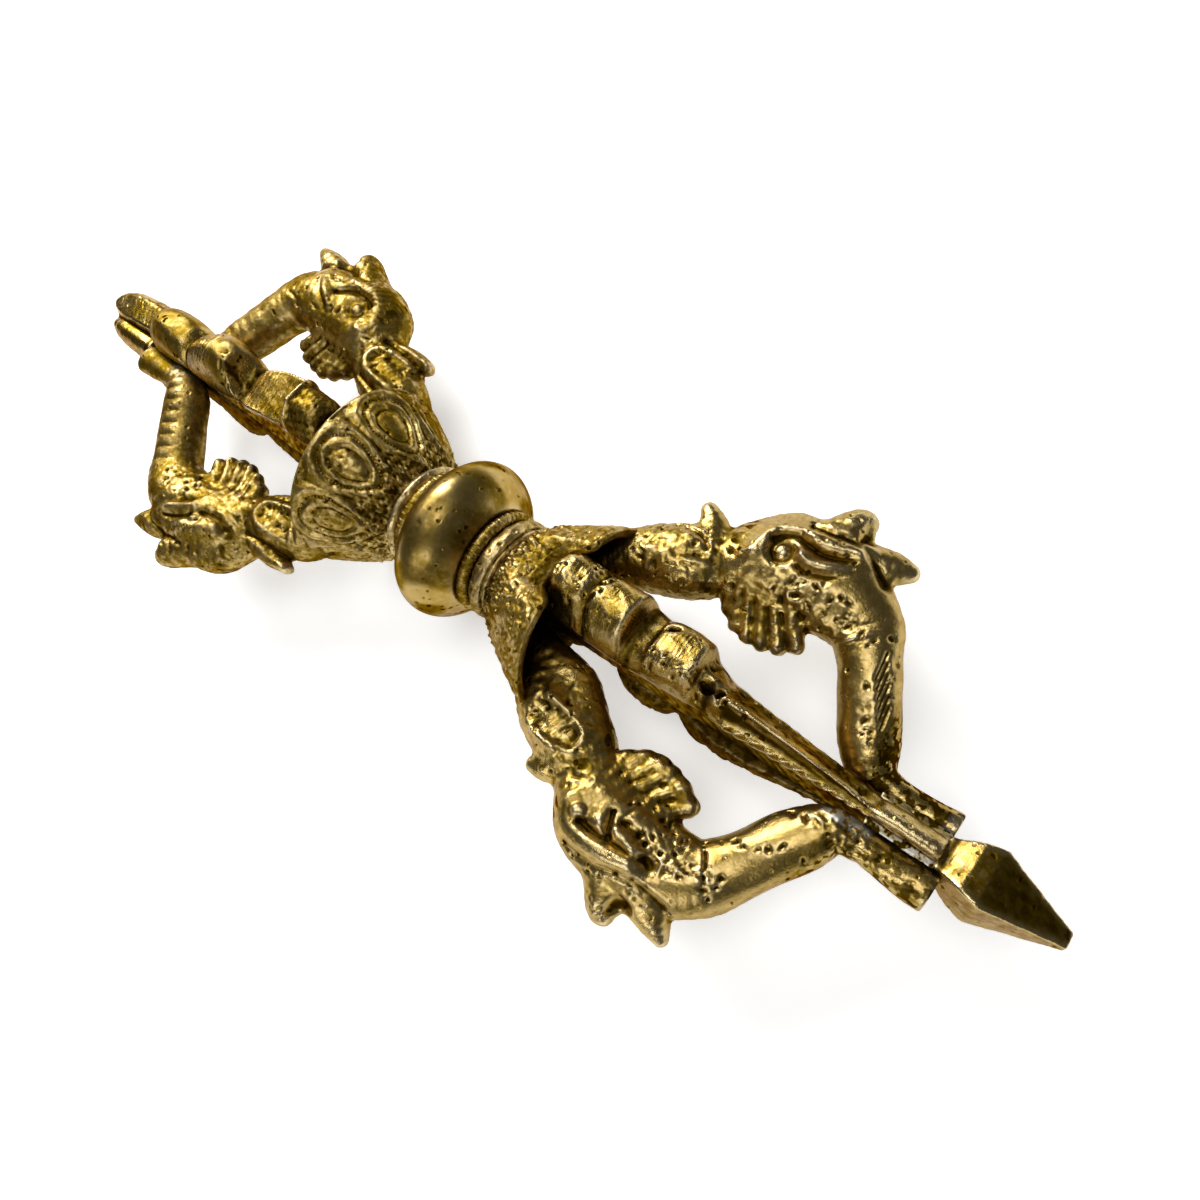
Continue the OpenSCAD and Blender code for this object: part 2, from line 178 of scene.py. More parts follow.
def pitted(x, y, places, rng, count, size, depth):
    """Ragged casting pits of random size and length inside boxes given as (x0, x1, y0, y1)."""
    sheet = np.zeros(np.broadcast(x, y).shape)
    xs, ys = x.ravel(), y.ravel()
    for box in places:
        for _ in range(count):
            cx, cy = rng.uniform(box[0], box[1]), rng.uniform(box[2], box[3])
            r = size * rng.uniform(0.5, 1.4)
            i = np.searchsorted(xs, [cx - 4 * r, cx + 4 * r])
            j = np.searchsorted(ys, [cy - 4 * r, cy + 4 * r])
            part = np.s_[i[0] : i[1], j[0] : j[1]]
            dent = spot(x[part[0]], y[:, part[1]], cx, cy, r, r * rng.uniform(1, 2.4), rng.uniform(0, 3.14))
            sheet[part] = np.minimum(sheet[part], -depth * rng.uniform(0.4, 1.2) * dent**0.7)
    return sheet


# Clay: a block of distance samples that is built up and carved


def soft_min(a, b, blend):
    """Smaller of two distances, with the crease between them rounded."""
    h = np.clip(0.5 + 0.5 * (b - a) / blend, 0, 1)
    return b * (1 - h) + a * h - blend * h * (1 - h)


def soft_max(a, b, blend):
    """Larger of two distances, with the edge between them rounded."""
    return -soft_min(-a, -b, blend)


def untangled(field):
    """Samples filled in where two inside corners of a cell's face meet only across it."""
    for _ in range(6):
        for u, v in ((0, 1), (0, 2), (1, 2)):
            corner = {}
            for i in (0, 1):
                for j in (0, 1):
                    cut = [slice(None)] * 3
                    cut[u] = slice(i, -1 if i == 0 else None)
                    cut[v] = slice(j, -1 if j == 0 else None)
                    corner[i, j] = field[tuple(cut)]
            full = {key: part < 0 for key, part in corner.items()}
            rising = full[0, 0] & full[1, 1] & ~full[0, 1] & ~full[1, 0]
            falling = full[0, 1] & full[1, 0] & ~full[0, 0] & ~full[1, 1]
            corner[0, 1][rising] = -0.01
            corner[0, 0][falling] = -0.01
    return field


class Clay:
    """Block of clay in millimetres; negative samples lie inside the shape."""

    FAR = 6.0
    LIMB_REACH = 2.5
    SCOOP_REACH = 2.0

    def __init__(self, low, high, step):
        self.step = step
        self.low = np.array(low, float)
        counts = np.ceil((np.array(high) - self.low) / step).astype(int) + 1
        self.axes = [self.low[i] + step * np.arange(counts[i]) for i in range(3)]
        self.field = np.full(counts, self.FAR, np.float32)

    @property
    def grid(self):
        """Places of all samples, ready to be broadcast."""
        x, y, z = self.axes
        return x[:, None, None], y[None, :, None], z[None, None, :]

    @property
    def sheet(self):
        """Places of the samples in plan."""
        return self.axes[0][:, None], self.axes[1][None, :]

    def window(self, low, high):
        """Slices of the block between two corners, and the places of their samples."""
        cut = []
        for axis, a, b in zip(self.axes, low, high):
            i, j = np.searchsorted(axis, [a, b])
            cut.append(slice(max(i - 1, 0), j + 1))
        x, y, z = (axis[c] for axis, c in zip(self.axes, cut))
        return tuple(cut), (x[:, None, None], y[None, :, None], z[None, None, :])

    def limb(self, stations, blend):
        """Limb through stations of x, y, z, half width and half thickness, blended into what is there."""
        rows = smoothed(stations, 3)
        own = np.full(self.field.shape, self.FAR, np.float32) if blend else self.field
        for a, b in zip(rows[:-1], rows[1:]):
            pad = np.maximum(a[3:5], b[3:5]).max() + self.LIMB_REACH
            win, (x, y, z) = self.window(np.minimum(a[:3], b[:3]) - pad, np.maximum(a[:3], b[:3]) + pad)
            dx, dy = b[0] - a[0], b[1] - a[1]
            run = dx * dx + dy * dy
            t = np.clip(((x - a[0]) * dx + (y - a[1]) * dy) / run, 0, 1)
            width = a[3] + t * (b[3] - a[3])
            thick = a[4] + t * (b[4] - a[4])
            up = (z - a[2] - t * (b[2] - a[2])) * width / thick
            gap = np.sqrt((x - a[0] - t * dx) ** 2 + (y - a[1] - t * dy) ** 2 + up * up) - width
            own[win] = np.minimum(own[win], gap * np.minimum(1, thick / width))
        if blend:
            self.field = soft_min(self.field, own, blend)

    def scoop(self, centre, radii):
        """Ellipsoid carved away."""
        centre, radii = np.array(centre, float), np.array(radii, float)
        pad = radii.max() + self.SCOOP_REACH
        win, places = self.window(centre - pad, centre + pad)
        u, v, w = ((place - middle) / radius for place, middle, radius in zip(places, centre, radii))
        gap = (np.sqrt(u**2 + v**2 + w**2) - 1) * radii.min()
        self.field[win] = soft_max(self.field[win], -gap, 0.6)

    def press(self, heights, rim):
        """Relief drawn in plan, pressed into the upper and lower faces alike."""
        z = self.axes[2]
        face = step_up(np.abs(z), 0.0, rim)
        self.field -= (heights[:, :, None] * face[None, None, :]).astype(np.float32)

    def skin(self):
        """Closed mesh of quads over the clay."""
        f = untangled(self.field)
        f[[0, -1]] = np.maximum(f[[0, -1]], 0.05)
        f[:, [0, -1]] = np.maximum(f[:, [0, -1]], 0.05)
        f[:, :, [0, -1]] = np.maximum(f[:, :, [0, -1]], 0.05)
        inside = f < 0
        corners = [(i, j, k) for i in (0, 1) for j in (0, 1) for k in (0, 1)]
        n = np.array(f.shape) - 1
        total = np.zeros(n, np.uint8)
        for i, j, k in corners:
            total += inside[i : i + n[0], j : j + n[1], k : k + n[2]]
        cells = np.argwhere((total > 0) & (total < 8))
        number = np.full(n, -1, np.int32)
        number[tuple(cells.T)] = np.arange(len(cells))
        value = {c: f[cells[:, 0] + c[0], cells[:, 1] + c[1], cells[:, 2] + c[2]] for c in corners}
        place = np.zeros((len(cells), 3))
        hits = np.zeros(len(cells))
        for p in corners:
            for axis in range(3):
                if p[axis]:
                    continue
                q = tuple(1 if i == axis else p[i] for i in range(3))
                a, b = value[p], value[q]
                cross = (a < 0) != (b < 0)
                t = np.where(cross, a / np.where(cross, a - b, 1), 0)
                spot_at = np.array(p, float)[None, :] + t[:, None] * (np.arange(3) == axis)
                place += spot_at * cross[:, None]
                hits += cross
        points = self.low + self.step * (cells + place / hits[:, None])
        faces = []
        for axis in range(3):
            u, v = (axis + 1) % 3, (axis + 2) % 3
            low = [slice(None)] * 3
            high = [slice(None)] * 3
            low[axis], high[axis] = slice(0, -1), slice(1, None)
            change = inside[tuple(low)] != inside[tuple(high)]
            at = np.argwhere(change)
            at = at[(at[:, u] > 0) & (at[:, v] > 0) & (at[:, u] < n[u]) & (at[:, v] < n[v])]
            leaving = inside[tuple(at.T)]
            ring = []
            for du, dv in ((-1, -1), (0, -1), (0, 0), (-1, 0)):
                cell = at.copy()
                cell[:, u] += du
                cell[:, v] += dv
                ring.append(number[tuple(cell.T)])
            ring = np.stack(ring, 1)
            faces.append(np.where(leaving[:, None], ring, ring[:, ::-1]))
        return points, np.vstack(faces)


# Meshes


def averaged(values, quads, rounds):
    """Values smoothed over the mesh by a number of rounds of neighbour averages."""
    a = np.concatenate([quads[:, i] for i in range(4)])
    b = np.concatenate([quads[:, (i + 1) % 4] for i in range(4)])
    count = len(values)
    share = np.bincount(a, minlength=count) + np.bincount(b, minlength=count)
    for _ in range(rounds):
        total = np.stack(
            [
                np.bincount(a, values[b, i], count) + np.bincount(b, values[a, i], count)
                for i in range(values.shape[1])
            ],
            1,
        )
        values = 0.35 * values + 0.65 * total / share[:, None]
    return values


def outward(points, quads):
    """Outward direction at every point of the mesh."""
    face = np.cross(points[quads[:, 2]] - points[quads[:, 0]], points[quads[:, 3]] - points[quads[:, 1]])
    total = np.zeros_like(points)
    for i in range(4):
        for k in range(3):
            total[:, k] += np.bincount(quads[:, i], face[:, k], len(points))
    return total / (np.linalg.norm(total, axis=1, keepdims=True) + 1e-12)


def grime(points, quads, fine=0.05, broad=0.16):
    """Hollows that hold patina and edges that are worn bright, both from 0 to 1."""
    normal = outward(points, quads)
    near = averaged(points, quads, 5)
    wide = averaged(near, quads, 40)
    sunk_fine = np.sum((near - points) * normal, 1)
    sunk_broad = np.sum((wide - points) * normal, 1)
    hollow = np.clip(np.maximum(sunk_fine / fine, sunk_broad / broad), 0, 1)
    edge = np.clip(np.maximum(-sunk_fine / fine, -sunk_broad / (1.4 * broad)) - 0.25, 0, 1)
    both = averaged(np.stack([hollow, edge], 1), quads, 1)
    return both[:, 0], both[:, 1]


def make_object(name, points, quads, marks, turn=None):
    """Mesh object in metres with its marks as attributes: patina with painted shade, polish with painted
    highlights, and silver.
    """
    quads = np.asarray(quads)
    if turn is not None:
        points = points @ np.asarray(turn).T
        if np.linalg.det(turn) < 0:
            quads = quads[:, ::-1]
    mesh = bpy.data.meshes.new(name)
    mesh.vertices.add(len(points))
    mesh.vertices.foreach_set("co", (points * MM).astype(np.float32).ravel())
    mesh.loops.add(4 * len(quads))
    mesh.loops.foreach_set("vertex_index", quads.astype(np.int32).ravel())
    mesh.polygons.add(len(quads))
    mesh.polygons.foreach_set("loop_start", np.arange(0, 4 * len(quads), 4, dtype=np.int32))
    mesh.polygons.foreach_set("use_smooth", np.ones(len(quads), bool))
    mesh.update(calc_edges=True)
    # The dark layer holds patina and painted shade, the bright layer worn polish and painted highlights, the
    # last solder.
    for key in ("patina_and_shade", "polish_and_sheen", "silver"):
        layer = mesh.attributes.new(key, "FLOAT", "POINT")
        values = marks.get(key, np.zeros(len(points)))
        layer.data.foreach_set("value", np.clip(values, 0, 1).astype(np.float32))
    mesh.validate()
    piece = bpy.data.objects.new(name + "_finished", mesh)
    bpy.context.scene.collection.objects.link(piece)
    return piece


def fit_on(piece, node, material):
    """Material, body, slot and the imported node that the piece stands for."""
    if material is not None:
        piece.data.materials.append(material)
    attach(piece, "root")
    if node:
        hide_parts(node)
    return piece


def ring_quads(rows, sides):
    """Quads of a closed outline with that many rows, turned in that many sides."""
    i, j = np.meshgrid(np.arange(rows), np.arange(sides), indexing="ij")
    i2, j2 = (i + 1) % rows, (j + 1) % sides
    return np.stack([i * sides + j, i2 * sides + j, i2 * sides + j2, i * sides + j2], -1).reshape(-1, 4)


def turned_mesh(outline, sides, relief):
    """Closed solid of revolution about X; relief(x, angle) raises the skin along its normal."""
    outline = np.array(outline, float)
    ahead = np.roll(outline, -1, 0) - np.roll(outline, 1, 0)
    normal = np.stack([ahead[:, 1], -ahead[:, 0]], 1)
    normal /= np.linalg.norm(normal, axis=1, keepdims=True)
    area = np.sum(outline[:, 0] * np.roll(outline[:, 1], -1) - np.roll(outline[:, 0], -1) * outline[:, 1])
    if area < 0:
        normal = -normal
    angle = 2 * math.pi * np.arange(sides) / sides
    lift = relief(outline, angle)
    x = outline[:, :1] + lift * normal[:, :1]
    r = outline[:, 1:] + lift * normal[:, 1:]
    points = np.stack([x, r * np.sin(angle), r * np.cos(angle)], -1).reshape(-1, 3)
    quads = ring_quads(len(outline), sides)
    if area > 0:
        quads = quads[:, ::-1]
    return points, quads


def resampled(outline, step):
    """Closed outline with points at even distances of about one step."""
    outline = np.array(outline, float)
    loop = np.vstack([outline, outline[:1]])
    run = np.concatenate([[0], np.cumsum(np.linalg.norm(np.diff(loop, axis=0), axis=1))])
    places = np.linspace(0, run[-1], max(12, int(run[-1] / step)), endpoint=False)
    return np.stack([np.interp(places, run, loop[:, k]) for k in range(2)], 1)


# Makara-headed prongs, sculpted in the quarter where x and y are positive


def trunk_line(roll, foot=(0.0, 1.7, 1.0)):
    """Stations of x, y, z, half width and half thickness from the cup's floor to the foot."""
    out, half, rise = foot
    foot_y, foot_z = (FOOT_Y + out) * math.cos(roll), rise * (FOOT_Y + out) * math.sin(roll)
    return [
        (11.2, 5.3, 0, 1.6, 1.8),
        (14.0, 6.3, 0, 2.25, 2.3),
        (17.0, 7.5, 0, 2.6, 2.7),
        (20.0, 8.9, 0, 3.0, 3.2),
        (23.4, 11.0, 0, 3.9, 3.8),
        (26.8, 12.7, 0, 4.4, 4.1),
        (30.0, 14.3, 0, 3.7, 3.3),
        (33.2, 16.4, 0, 5.0, 4.1),
        (37.0, 18.0, 0, 5.8, 4.6),
        (41.0, 18.4, 0, 5.8, 4.6),
        (44.6, 17.9, 0, 5.0, 4.2),
        (47.6, 16.6, 0.1 * foot_z, 4.2, 3.7),
        (49.9, 13.7, 0.2 * foot_z, 3.65, 3.3),
        (52.2, 10.0, 0.4 * foot_z, 3.5, 3.2),
        (54.5, 6.3, 0.7 * foot_z, 3.35, 3.0),
        (56.5, foot_y + 0.3, foot_z, 2.6, 2.6),
        (59.2, foot_y, foot_z, half + 0.1, 2.1),
        (62.0, foot_y, foot_z, half, 2.0),
        (66.0, foot_y + 0.1, foot_z, half + 0.2, 1.95),
        (68.6, foot_y + 0.1, foot_z, half + 0.2, 1.95),
    ]


# Lines of each face in plan, as x and y
CROWN_SEAM = [(37.2, 22.9), (39.6, 23.1), (42.4, 23.5), (45.6, 22.4), (47.2, 21.3)]
OPEN_FACE = {
    "brow": [
        (33.2, 17.0), (33.6, 19.2), (35.0, 21.0), (37.2, 21.8), (39.4, 21.8), (41.3, 22.2), (43.4, 22.9),
    ],
    "brow_groove": [
        (34.5, 19.4), (35.4, 20.3), (36.9, 20.7), (38.6, 20.5), (40.2, 20.4), (42.0, 20.9), (43.8, 21.7),
    ],
    "lip": [(38.4, 19.0), (39.2, 18.7), (40.6, 19.0), (42.0, 19.6), (43.3, 20.3), (44.2, 21.2)],
    "lip_groove": [(38.4, 17.9), (39.6, 17.7), (41.4, 18.1), (43.0, 18.9), (44.6, 20.0)],
    "seam": CROWN_SEAM,
}
FOLDED_FACE = {
    "brow": [(31.8, 18.2), (32.6, 19.6), (34.2, 20.3), (36.6, 20.4), (39.0, 20.0), (41.2, 19.2)],
    "brow_groove": [(34.2, 18.8), (36.0, 18.9), (38.4, 18.6), (41.8, 18.3)],
    "lip": [(38.4, 17.1), (39.6, 17.3), (41.4, 17.8)],
    "lip_groove": [(38.2, 16.1), (40.0, 16.2), (41.6, 16.6)],
    "seam": [(33.6, 22.0), (37.0, 22.0), (40.0, 21.1), (43.0, 20.5), (46.6, 20.9)],
}
ARCHED_FACE = {
    "brow": [(32.2, 16.3), (31.1, 17.8), (31.6, 19.7), (33.2, 21.4), (35.4, 22.1), (38.2, 22.0)],
    "brow_groove": [(33.5, 19.9), (34.6, 20.5), (36.2, 20.6), (37.8, 20.4), (39.6, 19.4)],
    "lip": [(39.2, 17.4), (40.4, 18.1), (41.8, 19.0), (43.2, 20.4)],
    "lip_groove": [(40.2, 16.8), (41.4, 17.6), (42.6, 18.6), (43.8, 19.9)],
    "seam": CROWN_SEAM,
}
SMOOTH_FACE = {
    "brow": [(32.4, 18.5), (33.8, 18.9), (35.6, 19.9), (37.2, 20.8)],
    "brow_groove": [
        (31.4, 17.5), (33.0, 16.9), (34.8, 17.0), (36.4, 17.8), (38.2, 19.3), (40.2, 20.3), (42.2, 20.9),
    ],
    "lip": [(37.4, 17.1), (38.8, 17.9), (40.5, 18.9), (42.1, 19.9), (43.1, 21.2)],
    "lip_groove": [(38.6, 16.8), (40.4, 17.7), (42.2, 18.8), (43.8, 20.2)],
    "seam": CROWN_SEAM,
}

# Root and tip of each rib of the beard
BEARD = [
    ((32.6, 13.2), (33.5, 10.5)),
    ((33.7, 13.1), (35.3, 9.3)),
    ((35.1, 13.0), (37.1, 8.8)),
    ((36.8, 13.0), (38.9, 9.0)),
    ((38.6, 13.1), (40.8, 9.7)),
    ((40.4, 13.3), (42.6, 10.8)),
]
BEARD_ROOT = [(33.0, 13.6), (36.6, 13.7), (40.0, 13.7), (42.8, 13.8)]
FILE_STROKES = [((51.4 + 0.62 * k, 14.9 - 0.95 * k), (51.9 + 0.62 * k, 11.8 - 0.85 * k)) for k in range(6)]
CRACK = [(46.3, 12.8), (47.4, 13.9), (48.3, 15.2), (48.7, 15.9), (50.0, 17.3)]
CREST_LINE = [(31.7, 17.6), (32.5, 20.7), (34.2, 22.6), (37.4, 23.4)]
SLEEVE_LIP = [
    (21.6, 14.6), (24.4, 15.1), (27.2, 14.9), (28.7, 13.6), (28.4, 11.9), (25.8, 10.9), (22.4, 10.4),
]
SLEEVE_LEAN = 0.9
NEAR_TRUNKS = ("filed", "cracked")

# Limbs as stations of x, y, z, half width and half thickness, and the block that a prong is carved from
SLEEVE = [(19.6, 10.0, 0, 3.0, 3.4), (23.0, 11.6, 0, 4.1, 4.0), (25.4, 12.6, 0, 4.0, 4.0)]
CREST = [
    (31.1, 17.8, 0, 1.7, 2.3), (32.5, 20.9, 0, 2.0, 2.7),
    (35.0, 22.5, 0, 2.1, 2.9), (38.4, 22.8, 0, 1.9, 2.7),
]
MAKARA_BLOCK = ((10.4, 0.8, -6.6), (68.2, 28.9, 6.6))

# Each prong: face lines, place of the eye and depth of its ring, shift of the brow, pits on the cheek, finish
# of the trunk, depth of the carving, the beard's flutes and the sleeve's leaf, the foot as in trunk_line,
# patina on the foot, and where solder begins on it, how wide and how dense it is
MAKARA_HEADS = {
    "front_left": {
        "face": OPEN_FACE,
        "eye": (36.1, 18.5),
        "brow_at": 1.0,
        "pits": 40,
        "trunk": "filed",
        "crisp": 1.1,
        "flute": 0.2,
        "tongue": 0.35,
        "foot": (-0.25, 1.6, 1.0),
        "dark_foot": 1.0,
        "silver": (63.6, 2.4, 0.5),
        "ear": [(28.4, 15.6, 0, 2.3, 2.7), (26.6, 17.8, 0.3, 1.8, 2.2), (25.1, 19.1, 0.5, 1.1, 1.4)],
        "crown": [(39.9, 23.5, 0, 2.9, 3.2), (41.0, 25.9, 0, 2.3, 2.7), (41.4, 26.7, 0, 1.5, 1.8)],
        "horn": [(43.6, 22.6, 0, 2.7, 3.2), (46.4, 23.7, 0, 2.0, 2.3), (48.5, 24.3, 0, 1.0, 1.2)],
    },
    "front_right": {
        "face": FOLDED_FACE,
        "eye": (33.5, 18.0),
        "ring": 0.1,
        "brow_at": -0.3,
        "pits": 44,
        "trunk": "cracked",
        "crisp": 1.0,
        "flute": 0.12,
        "tongue": 1.0,
        "crest": -0.9,
        "web": 1.0,
        "toe": 67.5,
        "foot": (0.1, 1.9, 1.0),
        "dark_foot": 0.75,
        "silver": (53.0, 1.7, 1.0),
        "arm": [
            (13.5, 5.2, 0, 1.7, 2.0), (18.0, 5.9, 0, 2.3, 2.4), (23.2, 6.9, 0, 2.6, 2.6),
            (25.6, 8.4, 0, 2.6, 2.7), (27.5, 9.9, 0, 2.5, 2.7), (29.8, 11.4, 0, 2.4, 2.7),
        ],
        "ear": [(28.6, 15.2, 0, 2.0, 2.5), (26.3, 16.9, 0.3, 1.6, 2.1), (24.7, 17.5, 0.4, 1.0, 1.4)],
        "crown": [(39.6, 22.6, 0, 2.9, 3.2), (40.7, 24.9, 0, 2.3, 2.7), (41.0, 25.7, 0, 1.6, 1.8)],
        "horn": [(43.4, 22.0, 0, 2.7, 3.2), (46.0, 23.0, 0, 1.9, 2.3), (47.8, 24.1, 0, 0.9, 1.1)],
    },
    "rear_left": {
        "face": ARCHED_FACE,
        "eye": (34.8, 18.5),
        "brow_at": -1.8,
        "pits": 18,
        "trunk": "plain",
        "crisp": 0.9,
        "flute": 0.22,
        "tongue": 0.8,
        "foot": (0.0, 1.8, 1.0),
        "dark_foot": 0.5,
        "silver": (62.0, 1.2, 0.4),
        "ear": [(28.0, 16.0, 0, 2.0, 2.5), (24.6, 17.0, 0.3, 1.5, 2.1), (21.6, 16.9, 0.4, 1.0, 1.5)],
        "crown": [(37.4, 22.7, 0, 2.6, 2.9), (40.4, 24.6, 0, 2.5, 2.8), (41.4, 25.9, 0, 1.6, 1.9)],
        "horn": [(44.2, 22.4, 0, 2.7, 3.2), (47.4, 23.6, 0, 1.9, 2.3), (49.9, 24.4, 0, 0.9, 1.2)],
    },
    "rear_right": {
        "face": SMOOTH_FACE,
        "eye": (36.5, 18.2),
        "ring": 0.35,
        "brow_at": -1.5,
        "pits": 18,
        "trunk": "faceted",
        "crisp": 0.8,
        "flute": 0.22,
        "tongue": 0.8,
        "toe": 66.0,
        "foot": (0.8, 2.2, 0.5),
        "dark_foot": 0.55,
        "silver": (53.0, 3.4, 0.5),
        "ear": [(28.0, 16.2, 0, 1.9, 2.4), (24.6, 16.9, 0.3, 1.4, 2.0), (21.6, 16.9, 0.4, 0.9, 1.4)],
        "crown": [(37.2, 22.6, 0, 2.6, 2.9), (39.8, 24.7, 0, 2.5, 2.8), (40.6, 26.0, 0, 1.6, 1.9)],
        "horn": [(44.0, 22.3, 0, 2.7, 3.2), (46.8, 23.5, 0, 1.8, 2.2), (49.0, 24.4, 0, 0.9, 1.1)],
    },
}


def makara_face(x, y, head):
    """Eye, brow, lips and crown seam drawn in plan."""
    eye_x, eye_y = head["eye"]
    gap = np.hypot(x - eye_x, y - eye_y)
    face = head["face"]
    folded = face is FOLDED_FACE
    plump = 1.5 if folded else 1.15
    fade = 1 - step_up(x, 41.0, 44.8)
    rise = head.get("ring", 1.0) * (0.12 * bell(gap - 2.0, 0.5) - 0.55 * plateau(gap, 1.7))
    rise += 0.55 * plateau(gap, 0.85)
    rise += 0.85 * stroke(x, y, face["brow"], 1.1 * plump)
    rise -= 0.65 * fade * stroke(x, y, face["brow_groove"], 0.5)
    rise += 0.65 * fade * stroke(x, y, face["lip"], 0.68 * plump)
    rise -= 0.45 * fade * stroke(x, y, face["lip_groove"], 0.5)
    rise -= 0.4 * stroke(x, y, face["seam"], 0.5)
    if folded:
        rise += 0.4 * spot(x, y, 36.1, 17.4, 0.8)
        rise -= 0.7 * stroke(x, y, [(36.7, 16.0), (37.2, 17.2), (37.8, 18.2)], 0.42)
        rise -= 1.2 * spot(x, y, 42.8, 18.0, 1.0, 1.3, 0.5)
        rise -= 0.5 * spot(x, y, 42.2, 24.6, 0.9)
    return rise


def sleeve_folds(x, y, side, bold, tongue):
    """Tongue-shaped leaf on the sleeve with its raised lip, and bold folds beside it on the rear prongs."""
    lean = SLEEVE_LEAN * side
    lip = [(lip_x, lip_y + lean) for lip_x, lip_y in SLEEVE_LIP]
    tongue_gap, tongue_run = line_distance(x, y, [(20.5, 12.6 + lean), (27.0, 13.0 + lean)])
    begin = step_up(x, 20.6, 23.4)
    rise = 0.42 * tongue * stroke(x, y, lip, 0.65) * begin
    sunk = plateau(tongue_gap, 1.75) * begin
    rise -= tongue * sunk * (0.7 + 0.03 * np.cos(tongue_run * 2 * math.pi / 0.7 + 3 * y))
    if bold:
        for up, slope in ((16.2, 0.1), (9.4, 0.3)):
            fold = [(21.5, up - 3.0 * slope + 0.6 * lean), (28.5, up + 3.5 * slope + 0.6 * lean)]
            rise -= 0.5 * scratch(x, y, fold, 0.5)
    if tongue < 0.5:
        rise -= 0.4 * stroke(x, y, [(21.6, 15.3), (24.6, 15.7), (27.2, 15.5), (28.4, 14.6)], 0.4)
        rise -= 0.3 * stroke(x, y, [(26.0, 12.0), (27.6, 13.2), (29.4, 13.7)], 0.5)
    return rise - 0.35 * spot(x, y, 30.8, 15.5 + 0.3 * lean, 0.26, 0.7, -0.4)


def makara_relief(clay, head, side, rng):
    """Carved face, sleeve, beard and trunk marks drawn in plan."""
    x, y = clay.sheet
    trunk = head["trunk"]
    folds = sleeve_folds(x, y, side, trunk in ("plain", "faceted"), head["tongue"])
    rise = head["crisp"] * makara_face(x, y, head) + folds
    if trunk not in ("cracked", "faceted"):
        crest_gap, crest_run = line_distance(x, y, smoothed(CREST_LINE, 5))
        rise -= 0.05 * (crest_gap < 1.3) * (1 + np.cos(crest_run * 2 * math.pi / 0.74))
    for ((ax, ay), (bx, by)), ((cx, cy), (ex, ey)) in zip(BEARD[:-1], BEARD[1:]):
        groove = [((ax + cx) / 2, (ay + cy) / 2 - 0.6), ((bx + ex) / 2, (by + ey) / 2 - 0.6)]
        rise -= head["flute"] * scratch(x, y, groove, 0.42)
    rise -= 0.15 * stroke(x, y, BEARD_ROOT, 0.6)
    if trunk == "faceted":
        trunk_gap, trunk_run = line_distance(x, y, smoothed(trunk_line(0.0)[10:16], 6)[:, :2])
        flats = np.abs(np.sin(trunk_run * math.pi / 1.9)) ** 0.5
        rise += step_up(trunk_run, 4.6, 6.4) * plateau(trunk_gap, 1.3) * (0.4 * flats - 0.36)
    if trunk == "plain":
        rise -= 0.2 * stroke(x, y, [(44.2, 14.6), (46.0, 15.6), (48.0, 16.0)], 0.3)
    if trunk == "filed":
        for line in FILE_STROKES:
            rise -= 0.32 * scratch(x, y, line, 0.2)
        rise += 0.2 * wobble(x, y, 0, 1.1, 9) * scratch(x, y, CRACK[:4], 0.9)
    if trunk == "cracked":
        rise -= 0.45 * stroke(x, y, CRACK, 0.2) * torn(x, y)
        rise -= 0.3 * stroke(x, y, [(46.8, 16.4), (47.6, 15.9), (48.5, 15.7)], 0.14)
    rise += pitted(x, y, [(37.0, 47.0, 13.4, 18.0)], rng, head["pits"], 0.22, 0.36)
    rise += pitted(x, y, [(33.5, 44, 20.4, 23.0), (38.5, 43, 23.5, 27)], rng, 14, 0.17, 0.25)
    rise += pitted(x, y, [(21, 31, 9, 17)], rng, 30, 0.2, 0.28)
    if trunk in NEAR_TRUNKS:
        rise += pitted(x, y, [(47, 53, 8, 17), (51, 57, 4.5, 11)], rng, 9, 0.2, 0.36)
        rise += pitted(x, y, [(54.5, 66, 2.0, 7)], rng, 36, 0.22, 0.3)
    return rise


def torn(x, y):
    """Stretches along which the crack is open."""
    return step_up(wobble(x, y, 0, 1.3, 13), -1.0, -0.4)


